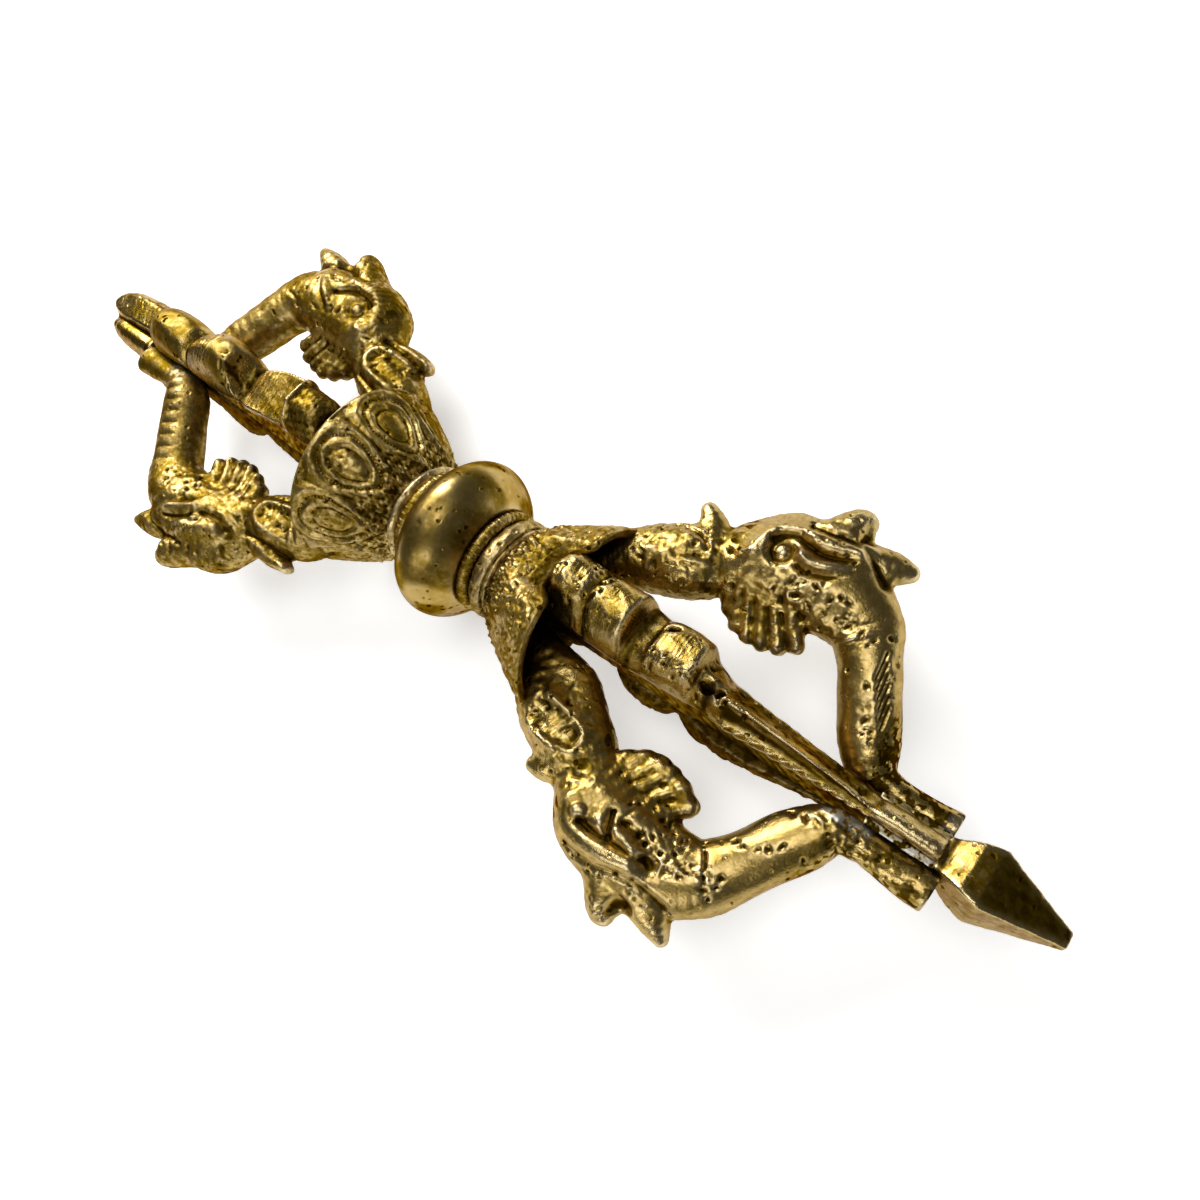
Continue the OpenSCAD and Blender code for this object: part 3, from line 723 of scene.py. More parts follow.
def makara_marks(points, quads, head, roll):
    """Dark patina in hollows and round the foot, painted shade at the root and on the underside, worn edges,
    and solder smeared on the foot.
    """
    hollow, edge = grime(points, quads)
    trunk = head["trunk"]
    near = trunk in NEAR_TRUNKS
    x, y, z = points.T
    mottle = blotches(points, 1.6, 21)
    fine = blotches(points, 0.7, 22)
    foot = step_up(x, 53.0, 57.5)
    beard = 1 - step_up(y, 11.0, 13.5)
    beard = beard * step_up(x, 32.0, 33.5) * (1 - step_up(x, 43.5, 45.0))
    patina_and_shade = most(
        hollow,
        # painted shade at the root, where the prong goes into the cup
        0.75 * (1 - step_up(x, 16.0, 24.0)),
        0.8 * (bell(x - 30.5, 1.6) * mottle),
        0.65 * beard * (0.4 + 0.6 * mottle),
        (0.3 if near else 0.6) * mottle * fine * (1 - 0.5 * step_up(x, 46.0, 49.0)),
        head["dark_foot"] * foot * step_up(mottle * 0.6 + fine * 0.55, 0.4, 0.7),
        # painted shade on the underside
        0.3 * step_up(-z, 0.5, 3.0),
    )
    if trunk == "filed":
        strokes = [0.9 * scratch(x, y, line, 0.17) * (z > 0) for line in FILE_STROKES]
        patina_and_shade = most(patina_and_shade, *strokes)
    if trunk == "cracked":
        patina_and_shade = most(patina_and_shade, 0.95 * stroke(x, y, CRACK, 0.2) * torn(x, y) * (z > 0))
    cheek = step_up(x, 31.0, 34.0) * step_up(y, 12.5, 14.5) if near else 0.0
    polish_and_sheen = np.clip(edge + 0.22 * most(step_up(x, 47.5, 50.0), cheek) * (1 - foot), 0, 1)
    across = y * math.cos(roll) + z * math.sin(roll)
    begin, width, share = head["silver"]
    seam = 1 - step_up(across, FLANK + width, FLANK + width + 0.8)
    if trunk in ("faceted", "cracked"):
        seam = seam * (1 - 0.8 * step_up(x, 58.5, 61.0))
    silver = share * step_up(x, begin, begin + 2.5) * seam * step_up(fine + mottle, 0.6, 1.1)
    return {"patina_and_shade": patina_and_shade, "polish_and_sheen": polish_and_sheen, "silver": silver}


def makara_prong(name, side, end, mirror, seed, material, step):
    """One prong: sleeve, ear, head with brow, eye, lips, beard and crown, trunk and foot."""
    roll = -side * ROLL[end]
    rng = np.random.default_rng(seed)
    head = MAKARA_HEADS[name]
    shift, lift = head["brow_at"], head.get("crest", 0.0)
    clay = Clay(*MAKARA_BLOCK, step)
    clay.limb(trunk_line(roll, head["foot"]), blend=0)
    if "arm" in head:
        clay.limb(head["arm"], 1.2)
    clay.limb(SLEEVE, 1.0)
    clay.limb(head["ear"], 0.9)
    clay.limb([(x + shift * (38.4 - x) / 7.4, y + lift, *rest) for x, y, *rest in CREST], 0.8)
    clay.limb(head["crown"], 0.8)
    clay.limb(head["horn"], 0.8)
    peak_x, peak_y = head["crown"][-1][:2]
    for up in (-2.9, 2.9):
        clay.scoop((peak_x + 1.9, peak_y - 0.9, up), (1.5, 1.9, 1.9))
    clay.scoop((peak_x + 3.0, peak_y + 0.3, 0), (1.5, 1.4, 5.0))
    for (ax, ay), (bx, by) in BEARD:
        clay.limb([(ax, ay + 1.6, 0, 1.5, 2.5), (ax, ay, 0, 1.4, 2.1), (bx, by, 0, 0.95, 1.2)], 0.75)
    if "web" in head:
        clay.limb([(bx, by + 0.2, 0, head["web"], 1.2) for _, (bx, by) in BEARD], 0.8)
    x, y, z = clay.grid
    crusty = np.where((x < 46) & (y < 17.5), 1.0, 0.3) * (1 - 0.7 * step_up(x, 45, 47))
    rough = 0.08 * wobble(x, y, z, 5.0, seed) + crusty * 0.035 * cast_grain(x, y, z, seed + 50, seed + 60)
    clay.field += rough.astype(np.float32)
    clay.press(makara_relief(clay, head, side, rng), 2.6)
    c, s = math.cos(roll), math.sin(roll)
    flank = np.interp(x, [50.0, HEEL_X, 66.2, 67.6], [2.5, FLANK, FLANK, 2.5]) - (y * c + z * s)
    level = np.abs(-y * s + z * c) - 1.95
    foot = np.where(x > HEEL_X + 1.5, level, -1)
    clay.field = soft_max(clay.field, np.where(x > 38, flank, -1), 0.12)
    clay.field = soft_max(clay.field, foot, 0.3)
    clay.field = soft_max(clay.field, x - head.get("toe", TOE_X), 0.25)
    clay.field = np.maximum(clay.field, FLOOR_X - x)
    points, quads = clay.skin()
    marks = makara_marks(points, quads, head, roll)
    piece = make_object(name + "_makara", points, quads, marks, np.diag(mirror).astype(float))
    return fit_on(piece, name + "_makara", material)


# Plain prongs above and below the centre prong, in that prong's own turned frame


PRONG_RUN = 55.3
PRONG_WIDE = 4.3
PRONG_HIGH = 10.6

# How far the near upper prong's ridge and whole section stand off its middle, along its length
RIDGE_AT, RIDGE_OFF = (37.0, 41.0, 59.0, 66.0), (0.0, -1.2, -1.0, -0.6)
LEAN_AT, LEAN_OFF = (13.0, 18.0, 36.0, 42.0), (0.0, 0.55, 0.5, 0.1)

# Stations of a plain prong: share of its length, of its greatest half width and height, and squareness
FRONT_UPPER = [
    (0, 0.54, 0.6, 2.0), (0.06, 0.62, 0.68, 2.0), (0.083, 0.68, 0.76, 2.0), (0.1, 0.82, 0.96, 2.1),
    (0.125, 0.93, 1.05, 2.2), (0.175, 0.95, 1.03, 2.3), (0.197, 0.9, 0.93, 2.2), (0.212, 0.98, 0.97, 2.3),
    (0.27, 1.0, 0.97, 2.5), (0.292, 0.97, 0.94, 2.8), (0.305, 0.92, 0.69, 3.0), (0.34, 0.88, 0.68, 3.0),
    (0.36, 0.87, 0.77, 3.0), (0.40, 0.86, 0.82, 3.0), (0.445, 0.84, 0.84, 3.0), (0.458, 0.79, 0.79, 2.6),
    (0.47, 0.72, 0.65, 2.0), (0.52, 0.62, 0.63, 1.6), (0.59, 0.55, 0.62, 1.35), (0.70, 0.46, 0.53, 1.25),
    (0.83, 0.335, 0.34, 1.35), (0.86, 0.31, 0.30, 1.6), (0.88, 0.32, 0.34, 1.8), (0.975, 0.32, 0.34, 1.8),
    (0.998, 0.28, 0.28, 2.0),
]
FRONT_LOWER = [
    (0, 0.5, 0.6, 2.0), (0.06, 0.54, 0.66, 2.0), (0.13, 0.5, 0.6, 2.2), (0.18, 0.34, 0.44, 2.2),
    (0.245, 0.34, 0.42, 2.2), (0.262, 0.5, 0.6, 2.2), (0.285, 0.66, 0.76, 2.2), (0.33, 0.75, 0.85, 2.3),
    (0.385, 0.68, 0.76, 2.3), (0.42, 0.5, 0.54, 2.2), (0.45, 0.68, 0.78, 2.2), (0.51, 0.77, 0.88, 2.1),
    (0.60, 0.71, 0.8, 1.8), (0.71, 0.54, 0.58, 1.6), (0.83, 0.34, 0.31, 1.5), (0.88, 0.31, 0.33, 2.4),
    (0.975, 0.31, 0.33, 2.4), (0.998, 0.28, 0.27, 2.4),
]
REAR_UPPER = [
    (0, 0.54, 0.6, 2.0), (0.05, 0.58, 0.62, 2.0), (0.12, 0.6, 0.6, 2.2), (0.2, 0.58, 0.52, 2.2),
    (0.25, 0.6, 0.5, 2.3), (0.266, 0.74, 0.68, 2.3), (0.29, 0.84, 0.79, 2.4), (0.33, 0.87, 0.83, 2.5),
    (0.40, 0.88, 0.84, 2.5), (0.47, 0.87, 0.80, 2.5), (0.54, 0.82, 0.62, 2.4), (0.565, 0.79, 0.5, 2.4),
    (0.577, 0.76, 0.42, 2.4), (0.59, 0.79, 0.58, 2.3), (0.61, 0.84, 0.72, 2.3), (0.65, 0.88, 0.82, 2.3),
    (0.70, 0.88, 0.79, 2.4), (0.76, 0.84, 0.65, 2.5), (0.795, 0.80, 0.56, 2.4), (0.81, 0.80, 0.55, 2.4),
    (0.83, 0.83, 0.61, 2.4), (0.88, 0.87, 0.68, 2.4), (0.94, 0.82, 0.66, 2.3), (0.98, 0.64, 0.55, 2.2),
    (0.998, 0.46, 0.32, 2.2),
]
REAR_LOWER = [
    (0, 0.46, 0.62, 2.0), (0.05, 0.5, 0.72, 2.0), (0.12, 0.5, 0.78, 2.2), (0.23, 0.48, 0.70, 2.2),
    (0.33, 0.48, 0.76, 2.4), (0.42, 0.47, 0.72, 2.4), (0.56, 0.44, 0.48, 2.4), (0.61, 0.45, 0.66, 2.3),
    (0.68, 0.46, 0.74, 2.3), (0.80, 0.44, 0.54, 2.3), (0.89, 0.46, 0.60, 2.3), (0.96, 0.44, 0.54, 2.3),
    (0.998, 0.36, 0.31, 2.2),
]


def file_lines(x, y, box, slope, pitch, depth, seed):
    """Fine cross marks left by a file inside a box, with ragged spacing."""
    rng = np.random.default_rng(seed)
    where = step_up(x, box[0], box[0] + 0.4) * step_up(-x, -box[1], 0.4 - box[1])
    where = where * step_up(y, box[2], box[2] + 0.4) * step_up(-y, -box[3], 0.4 - box[3])
    across = x + slope * y
    ripple = 0.0
    for _ in range(4):
        wave = pitch * rng.uniform(0.7, 1.6)
        ripple = ripple + np.cos(across * 2 * math.pi / wave + rng.uniform(0, 6.28))
    return where * depth * ripple / 3


def blade_span(x):
    """1 along the blade of the near upper prong, 0 before and after it."""
    return step_up(x, 39.4, 41.4) * step_up(-x, -59.2, -57.4)


def blade_relief(x, y):
    """Rail along the right edge of the blade and the shallow hollow beside it."""
    blade = blade_span(x)
    width = np.interp(x, [40, 50, 57, 66], [2.65, 2.0, 1.45, 1.35])
    fade = np.interp(x, [40, 58], [1.0, 0.6])
    right = y - width + 0.5
    wave = 0.5 + 0.5 * np.sin(x * 2 * math.pi / 1.7 + np.sin(1.3 * x))
    rise = blade * fade * (0.16 + 0.2 * wave) * bell(right, 0.4)
    return rise - blade * fade * 0.22 * bell(right + 0.8, 0.35)


def blade_left(x, v, off):
    """Hollow and rail on the blade's left face, for heights v and places off its ridge."""
    blade = blade_span(x) * step_up(-off, -0.1, 0.3)
    return blade * plateau(v - 0.67, 0.26), blade * (1 - step_up(v, 0.3, 0.42))


def front_upper_relief(x, y, rng):
    """Filed flats, pits, rails and the hollow beside the ridge of the near upper prong."""
    rise = file_lines(x, y, (18.2, 21.4, -1.6, 2.6), 0.12, 0.45, 0.022, 1)
    rise -= 0.2 * spot(x, y, 19.8, 0.6, 1.7, 1.2)
    rise += file_lines(x, y, (23.0, 27.0, -2.6, 3.4), -0.25, 0.5, 0.012, 2)
    rise += file_lines(x, y, (30.6, 35.4, -3.0, 3.0), 0.08, 0.42, 0.03, 3)
    rise -= 0.7 * spot(x, y, 31.6, 1.9, 0.3, 0.8, 0.4)
    rise -= 1.0 * (spot(x, y, 38.1, -0.8, 0.5, 0.7) + 0.8 * spot(x, y, 39.7, -0.5, 0.4, 0.55, 0.7))
    rise += blade_relief(x, y)
    rise += file_lines(x, y, (58.6, 65.6, -1.4, 1.4), 0.1, 0.5, 0.025, 4)
    rise += pitted(x, y, [(14.0, 18.0, -3.8, 3.8)], rng, 40, 0.15, 0.2)
    boxes = [(30, 46, -3.6, -1.0), (20, 23, -3.6, 3.6), (36, 41, -2.6, 2.6)]
    rise += pitted(x, y, boxes, rng, 22, 0.18, 0.26)
    return rise


def front_lower_relief(x, y, rng):
    """Pits all over and one long groove."""
    rise = pitted(x, y, [(12, 66, -3.6, 3.6)], rng, 150, 0.22, 0.3)
    return rise - 0.4 * stroke(x, y, [(34, -2.2), (46, -1.9), (57, -1.1)], 0.3)


def rear_upper_relief(x, y, rng):
    """File marks on the crest, the scoop and the second valley, and a patch of pits."""
    rise = file_lines(x, y, (26.5, 31.0, -3.6, 3.6), 0.1, 0.6, 0.03, 5)
    rise += file_lines(x, y, (32.4, 42.2, -3.4, 3.4), 0.1, 0.5, 0.03, 6)
    rise += file_lines(x, y, (49.0, 55.6, -3.2, 3.2), 0.0, 0.62, 0.06, 7)
    rise -= 0.35 * stroke(x, y, [(55.3, -3.2), (55.7, 3.2)], 0.4)
    rise += pitted(x, y, [(43.2, 46.5, 0.8, 3.6)], rng, 40, 0.2, 0.3)
    return rise


def rear_lower_relief(x, y, rng):
    """Pits all over."""
    return pitted(x, y, [(12, 66, -3.4, 3.4)], rng, 80, 0.2, 0.25)


PLAIN_PRONGS = {
    "front_upper": (FRONT_UPPER, front_upper_relief),
    "front_lower": (FRONT_LOWER, front_lower_relief),
    "rear_upper": (REAR_UPPER, rear_upper_relief),
    "rear_lower": (REAR_LOWER, rear_lower_relief),
}
PRONG_BLOCK = ((10.6, -5.0, BAR_HALF - 0.8), (67.2, 5.0, 11.8))


def turn_about_x(angle):
    """Rotation matrix about the sceptre's length."""
    c, s = math.cos(angle), math.sin(angle)
    return np.array([[1, 0, 0], [0, c, -s], [0, s, c]])


HALF_TURN = np.diag([-1.0, -1.0, 1.0])


def prong_turn(name):
    """Turn from the prong's own frame to its place on the sceptre."""
    end, place = name.split("_")
    flip = math.pi if place == "lower" else 0.0
    if end == "front":
        return turn_about_x(flip - ROLL["front"])
    return HALF_TURN @ turn_about_x(flip + ROLL["rear"])


def rear_upper_marks(points, edge, mottle, fine, patina_and_shade):
    """Patina, painted shade and polish on the filed crest, the scoop with its rim worn bright and painted as
    a highlight line, and the humps behind it.
    """
    x, y, z = points.T
    facet = step_up(x, 31.8, 32.4) * (1 - step_up(x, 41.0, 42.5))
    patina_and_shade = most(
        patina_and_shade,
        (0.52 + 0.2 * fine) * facet * (1 - edge),
        # darkest before the first hump
        0.9 * (1 - step_up(x, 25.8, 26.8)),
        # painted shade over the top of the first hump
        0.75 * (1 - step_up(x, 31.0, 32.0)) * (0.7 + 0.3 * fine),
        # painted shade towards the end of the prong
        0.5 * step_up(x, 56.0, 57.5) * (1 - step_up(x, 64.5, 65.5)),
        0.45 * step_up(x, 43.5, 45.0) * (1 - step_up(x, 48.0, 49.5)),
    )
    # The rim is worn bright and painted as a highlight line, with the patina taken off it.
    rim = bell(x - 31.3 - 0.05 * (y - 1.0) ** 2, 0.32) * step_up(z, 4.0, 5.4)
    patina_and_shade = most(
        patina_and_shade * (1 - rim),
        step_up(mottle, 0.35, 0.7) * spot(x, y, 44.6, 2.2, 1.3, 1.8),
        0.8 * bell(x - 43.0, 0.8),
    )
    return patina_and_shade, most(edge, rim)


def front_upper_marks(points, edge, mottle, fine, patina_and_shade, table):
    """Patina on the notches and the blade's left face, a darker right face, polish on the ridge that is worn
    and painted as a highlight line, and a painted highlight on a facet of the block.
    """
    x, y, z = points.T
    notch = bell(x - 28.6, 0.7) + step_up(mottle, 0.4, 0.7) * bell(x - 38.6, 1.4)
    stand = (z - BAR_HALF) / (np.interp(x, table[:, 0], table[:, 2]) - BAR_HALF)
    peak = np.interp(x, RIDGE_AT, RIDGE_OFF) + np.interp(x, LEAN_AT, LEAN_OFF)
    sunk, rail = blade_left(x, stand, y - peak)
    patina_and_shade = most(patina_and_shade, 0.75 * notch, sunk, (0.4 + 0.25 * mottle * fine) * rail * (1 - edge))
    # The ridge is worn bright and painted as a highlight line.
    ridge = step_up(x, 43.0, 46.0) * bell(y - peak, 0.18) * step_up(stand, 0.84, 0.94)
    # A facet of the block gets a painted highlight.
    edge = most(edge, ridge, 0.6 * step_up(x, 59.0, 60.0) * (1 - step_up(y, 0.0, 0.6)))
    # The blade's right face is darker.
    right = step_up(y, -0.7, -0.2) * step_up(x, 39.0, 41.0) * (1 - step_up(x, 57.5, 59.0))
    return most(patina_and_shade, (0.55 + 0.3 * mottle * fine) * right * (1 - edge)), edge


def plain_prong_marks(name, points, quads, seed, table):
    """Patina in the hollows, painted shade at the root, over the lower prongs and low down by the bar, the
    marks where each prong is dark, and its worn edges.
    """
    hollow, edge = grime(points, quads)
    x, _, z = points.T
    mottle = blotches(points, 1.8, seed + 1)
    fine = blotches(points, 0.7, seed + 4)
    # The part at the root is painted shade.
    patina_and_shade = most(hollow, 0.6 * (1 - step_up(x, 11.5, 14.5)), 0.35 * mottle * fine)
    # The lower prongs, under the bar, get painted shade all over.
    if name.endswith("lower"):
        patina_and_shade = most(patina_and_shade, 0.7 + 0.2 * mottle * fine)
    if name == "rear_upper":
        patina_and_shade, edge = rear_upper_marks(points, edge, mottle, fine, patina_and_shade)
    if name == "front_upper":
        patina_and_shade, edge = front_upper_marks(points, edge, mottle, fine, patina_and_shade, table)
    # Painted shade low down where the prong lies on the bar.
    low = 1 - step_up(z, BAR_HALF + 0.2, BAR_HALF + 1.0)
    return {"patina_and_shade": most(patina_and_shade, 0.5 * low * (x < 40)), "polish_and_sheen": edge}


def plain_prong(name, seed, material, step):
    """Knobbed prong whose flat underside lies on the centre prong."""
    shares, relief = PLAIN_PRONGS[name]
    rows = np.array(shares) * (PRONG_RUN, PRONG_WIDE, PRONG_HIGH, 1) + (FLOOR_X, 0, 0, 0)
    rng = np.random.default_rng(seed)
    clay = Clay(*PRONG_BLOCK, step)
    x, y, z = clay.grid
    table = smoothed(rows, 6)
    width, height, square = (np.interp(x, table[:, 0], table[:, k]) for k in (1, 2, 3))
    rise = height - BAR_HALF
    v = np.clip(z - BAR_HALF, 0, None) / rise
    ridge = np.interp(x, RIDGE_AT, RIDGE_OFF) if name == "front_upper" else 0.0
    lean = np.interp(x, LEAN_AT, LEAN_OFF) if name == "front_upper" else 0.0
    off = y - lean - ridge * np.clip(v, 0, 1)
    base = np.interp(x, [36, 41], [0.74, 0.95])
    u = np.abs(off) / width / (1 - (1 - base) * bell(v, 0.16))
    size = (u**square + v**square) ** (1 / square)
    gap = (size - 1) * np.minimum(width, rise)
    if name == "front_upper":
        sunk, rail = blade_left(x, v, off)
        wave = (0.5 + 0.5 * np.sin((x - 1.4 * z) * 2 * math.pi / 1.9 + 0.7 * np.sin(0.9 * x))) ** 0.7
        gap = gap + 0.5 * sunk - (0.3 * wave - 0.05) * rail
    if name == "rear_upper":
        past = np.clip(x - 31.4 - 0.05 * (y - 1.0) ** 2, 0, None)
        bite = 7.2 - 1.2 * np.clip(past / 0.9, 0, 1) - 0.2 * past
        bite = bite + 9.0 * (past == 0) + 0.5 * np.clip(x - 42.6, 0, None) ** 2
        gap = soft_max(gap, z * math.cos(ROLL["rear"]) + y * math.sin(ROLL["rear"]) - bite, 0.06)
        gap = gap - 0.3 * bell(x - 31.2 - 0.05 * (y - 1.0) ** 2, 0.4) * step_up(v, 0.3, 0.6)
    cast = 1.0 if name.endswith("lower") else np.interp(x, [17, 20, 30, 42], [1.0, 0.4, 0.5, 0.35])
    gap = gap + 0.05 * wobble(x, y, z, 4.0, seed) + cast * 0.035 * cast_grain(x, y, z, seed + 2, seed + 3)
    low = np.interp(x, [38, 41], [0.22, 0.0])
    gap = gap - relief(*clay.sheet, rng)[:, :, None] * step_up(v, low, low + 0.25)
    gap = soft_max(gap, BAR_HALF + 0.02 - z, 0.15)
    gap = soft_max(gap, x - (TOE_X - 0.1), 0.2)
    clay.field = np.maximum(gap, FLOOR_X - x).astype(np.float32)
    points, quads = clay.skin()
    marks = plain_prong_marks(name, points, quads, seed, table)
    piece = make_object(name + "_prong", points, quads, marks, prong_turn(name))
    return fit_on(piece, name + "_prong", material)


# Centre prongs


SPEAR_X, POINT_X = 66.2, 79.9
TANG_R = 2.2
CENTRE_BLOCK = ((0.0, -5.4, -5.6), (80.4, 5.4, 5.6))


def front_spear(x, y, z):
    """Square spear whose flats lie along the bar's faces, with slightly rounded edges."""
    wide_at = [SPEAR_X, 67.0, 68.0, 69.5, 71.4, 79.2, POINT_X]
    high_at = [SPEAR_X, 67.2, 68.3, 69.3, 71.0, 79.2, POINT_X]
    wide = np.interp(x, wide_at, [1.9, 2.1, 2.45, 3.0, 3.4, 1.05, 0.9])
    high = np.interp(x, high_at, [1.9, 2.2, 2.9, 3.3, 3.4, 0.9, 0.75])
    return soft_max(np.abs(y) - wide, np.abs(z) - high, 0.22)


def rear_spear(x, y, z):
    """Flattened point: a long upper lobe over a shorter lower lobe, with a groove between."""
    up = z - np.interp(x, [66, 72, 80], [2.2, 1.9, 0.9])
    upper = np.abs((x - 68.0) / 11.9) ** 4.0 + np.abs((y + 0.9) / 2.7) ** 2.6 + np.abs(up / 2.6) ** 2.6
    lower = np.abs((x - 67.0) / 11.4) ** 3.4 + np.abs((y - 1.5) / 2.5) ** 2.6 + np.abs((z + 1.0) / 2.4) ** 2.6
    point = soft_min((upper ** (1 / 2.6) - 1) * 2.2, (lower ** (1 / 2.6) - 1) * 2.1, 0.4)
    facet = 0.87 * up + 0.5 * (y + 0.9) - np.interp(x, [66, 70, POINT_X], [2.2, 2.0, 1.6])
    return soft_max(point, facet, 0.15)


def centre_prong(end, material, step):
    """Bar with a tang behind and its spear point ahead."""
    clay = Clay(*CENTRE_BLOCK, step)
    x, y, z = clay.grid
    half = np.interp(x, [11, 34.0, 41.0, 49.0, HEEL_X], [BAR_SIDE, BAR_SIDE, 1.9, 1.75, WAIST_SIDE])
    wave = 0.5 + 0.5 * np.sin((x + 0.9 * z) * 2 * math.pi / 1.5 + np.sin(0.9 * x))
    half = half - 0.06 * wave * step_up(x, 20, 24) * (1 - step_up(x, 56, 58))
    bar = soft_max(soft_max(np.abs(y) - half, np.abs(z) - BAR_HALF, 0.3), x - 68.0, 0.3)
    bar = np.maximum(bar, FLOOR_X - x)
    tang = np.maximum(np.hypot(y, z) - TANG_R, np.maximum(0.4 - x, x - 13))
    spear = front_spear(x, y, z) if end == "front" else rear_spear(x, y, z)
    spear = soft_max(spear, np.maximum(SPEAR_X - x, x - POINT_X), 0.35)
    gap = np.minimum(soft_min(bar, spear, 0.25), tang)
    gap = gap + 0.02 * wobble(x, y, z, 3.0, 31) + 0.012 * wobble(x, y, z, 0.9, 32)
    clay.field = gap.astype(np.float32)
    points, quads = clay.skin()
    hollow, edge = grime(points, quads)
    px, py, pz = points.T
    mottle = blotches(points, 1.3, 33)
    patina_and_shade = np.maximum(hollow, 0.8 * bell(px - 66.9, 0.6))
    if end == "front":
        # The spear's top facet is darker.
        facet = step_up(pz, 0.0, 0.4) * step_up(pz - np.abs(py), 0.0, 0.5) * step_up(px, 69.0, 69.8)
        # Painted shade over the front spear, strongest at its neck.
        painted_neck_shade = 0.45 - 0.15 * step_up(px, 69.0, 71.0)
        patina_and_shade = most(patina_and_shade, facet * (0.6 + 0.1 * mottle) * (1 - edge), painted_neck_shade)
    patina_and_shade = most(
        patina_and_shade,
        0.8 * step_up(px, 78.0, 79.4) * mottle,
        0.7 * step_up(mottle, 0.6, 0.8) * spot(px, py, 68.4, -1.2, 1.2),
        (0.55 + 0.2 * mottle) * (px < 66),
    )
    turn = prong_turn(end + "_upper")
    piece = make_object(end + "_centre_prong", points, quads, {"patina_and_shade": patina_and_shade, "polish_and_sheen": edge}, turn)
    return fit_on(piece, end + "_centre_prong", material)


# Solder seams


SOLDER_STEP = 0.14


def solder_seam(end, side, turn, seed, material, step):
    """Lumpy fillet of solder between a foot and the bar's flank."""
    roll = -side * ROLL[end]
    clay = Clay((HEEL_X - 0.6, 0.6, -3.2), (TOE_X + 0.6, 4.4, 3.2), step)
    x, y, z = clay.grid
    c, s = math.cos(roll), math.sin(roll)
    across = y * c + z * s
    up = -y * s + z * c
    lump = 0.3 * wobble(x, y, z, 1.6, seed)
    fillet = across - 1.85 - 0.5 * np.abs(up / BAR_HALF) ** 3 - 0.12 * lump
    body = soft_max(fillet, np.abs(up) - BAR_HALF + 0.05 + 0.1 * lump, 0.25)
    body = soft_max(body, 1.22 - across, 0.1)
    body = soft_max(body, np.maximum(HEEL_X - x, x - TOE_X + 0.1), 0.3)
    clay.field = body.astype(np.float32)
    points, quads = clay.skin()
    hollow, edge = grime(points, quads)
    name = f"{end}_{'left' if side > 0 else 'right'}_solder"
    mottle = blotches(points, 1.3, seed + 3)
    fine = blotches(points, 0.6, seed + 4)
    marks = {"patina_and_shade": np.maximum(hollow, 0.9 * step_up(fine + mottle, 0.75, 1.2)), "polish_and_sheen": edge}
    share = 0.85 if name == "front_right_solder" else 0.4
    marks["silver"] = share * (1 - step_up(0.6 * fine + mottle, 0.55, 0.95))
    piece = make_object(name, points, quads, marks, turn)
    return fit_on(piece, name, material)


# Hub: bulb, collars, lotus cups and their wires


BORE_R = 2.25
SEATS = {"front": 4.1, "rear": 5.3}
WIRE_D = 1.7
COLLAR_R = 7.1
SPIGOT_R = 5.5
PETALS = 8
PETAL_MIDDLE = 14.6
PETAL_HALF = 4.7
PETAL_STARTS = {"front": 0.0, "rear": 0.05}
BULB_R = 11.0
BULB_MIDDLE = -1.0
BULB_HALVES = (5.75, 6.8)
BULB_SIDES, COLLAR_SIDES, CUP_SIDES = 300, 220, 400
CUP_WALL = 1.4
CUP_FOOT_R = 6.0
CUP_FLARE = 7.0
CUP_RUN = 11.2
CUP_SLOPE = 0.4375
CUP_LARGEST_R = 13.0


def round_pits(x, angle, radius, rng, count, size, depth, low, high):
    """Pinholes scattered over a turned skin between two places along it."""
    sheet = np.zeros((len(x), len(angle)))
    for _ in range(count):
        cx, ca = rng.uniform(low, high), rng.uniform(0, 2 * math.pi)
        r = size * rng.uniform(0.5, 1.4)
        turn = (angle[None, :] - ca + math.pi) % (2 * math.pi) - math.pi
        dent = np.exp(-(((x[:, None] - cx) / r) ** 2) - (turn * radius[:, None] / r) ** 2)
        sheet = np.minimum(sheet, -depth * rng.uniform(0.5, 1.2) * dent)
    return sheet


def grip_bulb(material):
    """Polished bulb between the two beaded wires."""
    rng = np.random.default_rng(5)
    low, high = -SEATS["rear"], SEATS["front"]
    x = np.linspace(low, high, 60)
    half = np.where(x < BULB_MIDDLE, *BULB_HALVES)
    skin = np.stack([x, BULB_R * np.sqrt(1 - ((x - BULB_MIDDLE) / half) ** 2)], 1)
    outline = resampled(np.vstack([[(low, BORE_R)], skin, [(high, BORE_R)]]), 0.22)

    def relief(rows, angle):
        px, pr = rows.T
        dents = round_pits(px, angle, pr, rng, 60, 0.15, 0.12, -4.4, 3.4)
        slow = 0.05 * wobble(px[:, None], pr[:, None] * np.sin(angle), pr[:, None] * np.cos(angle), 9.0, 6)
        return np.where(pr[:, None] > 6.5, dents - np.abs(slow), 0)

    points, quads = turned_mesh(outline, BULB_SIDES, relief)
    hollow, edge = grime(points, quads)
    cloud = blotches(points, 5.0, 24)
    patina_and_shade = most(hollow, 0.4 * step_up(-points[:, 0], 4.9, 5.2), 0.38 + 0.25 * cloud)
    piece = make_object("grip_bulb", points, quads, {"patina_and_shade": patina_and_shade, "polish_and_sheen": edge})
    return fit_on(piece, "grip_bulb", material)


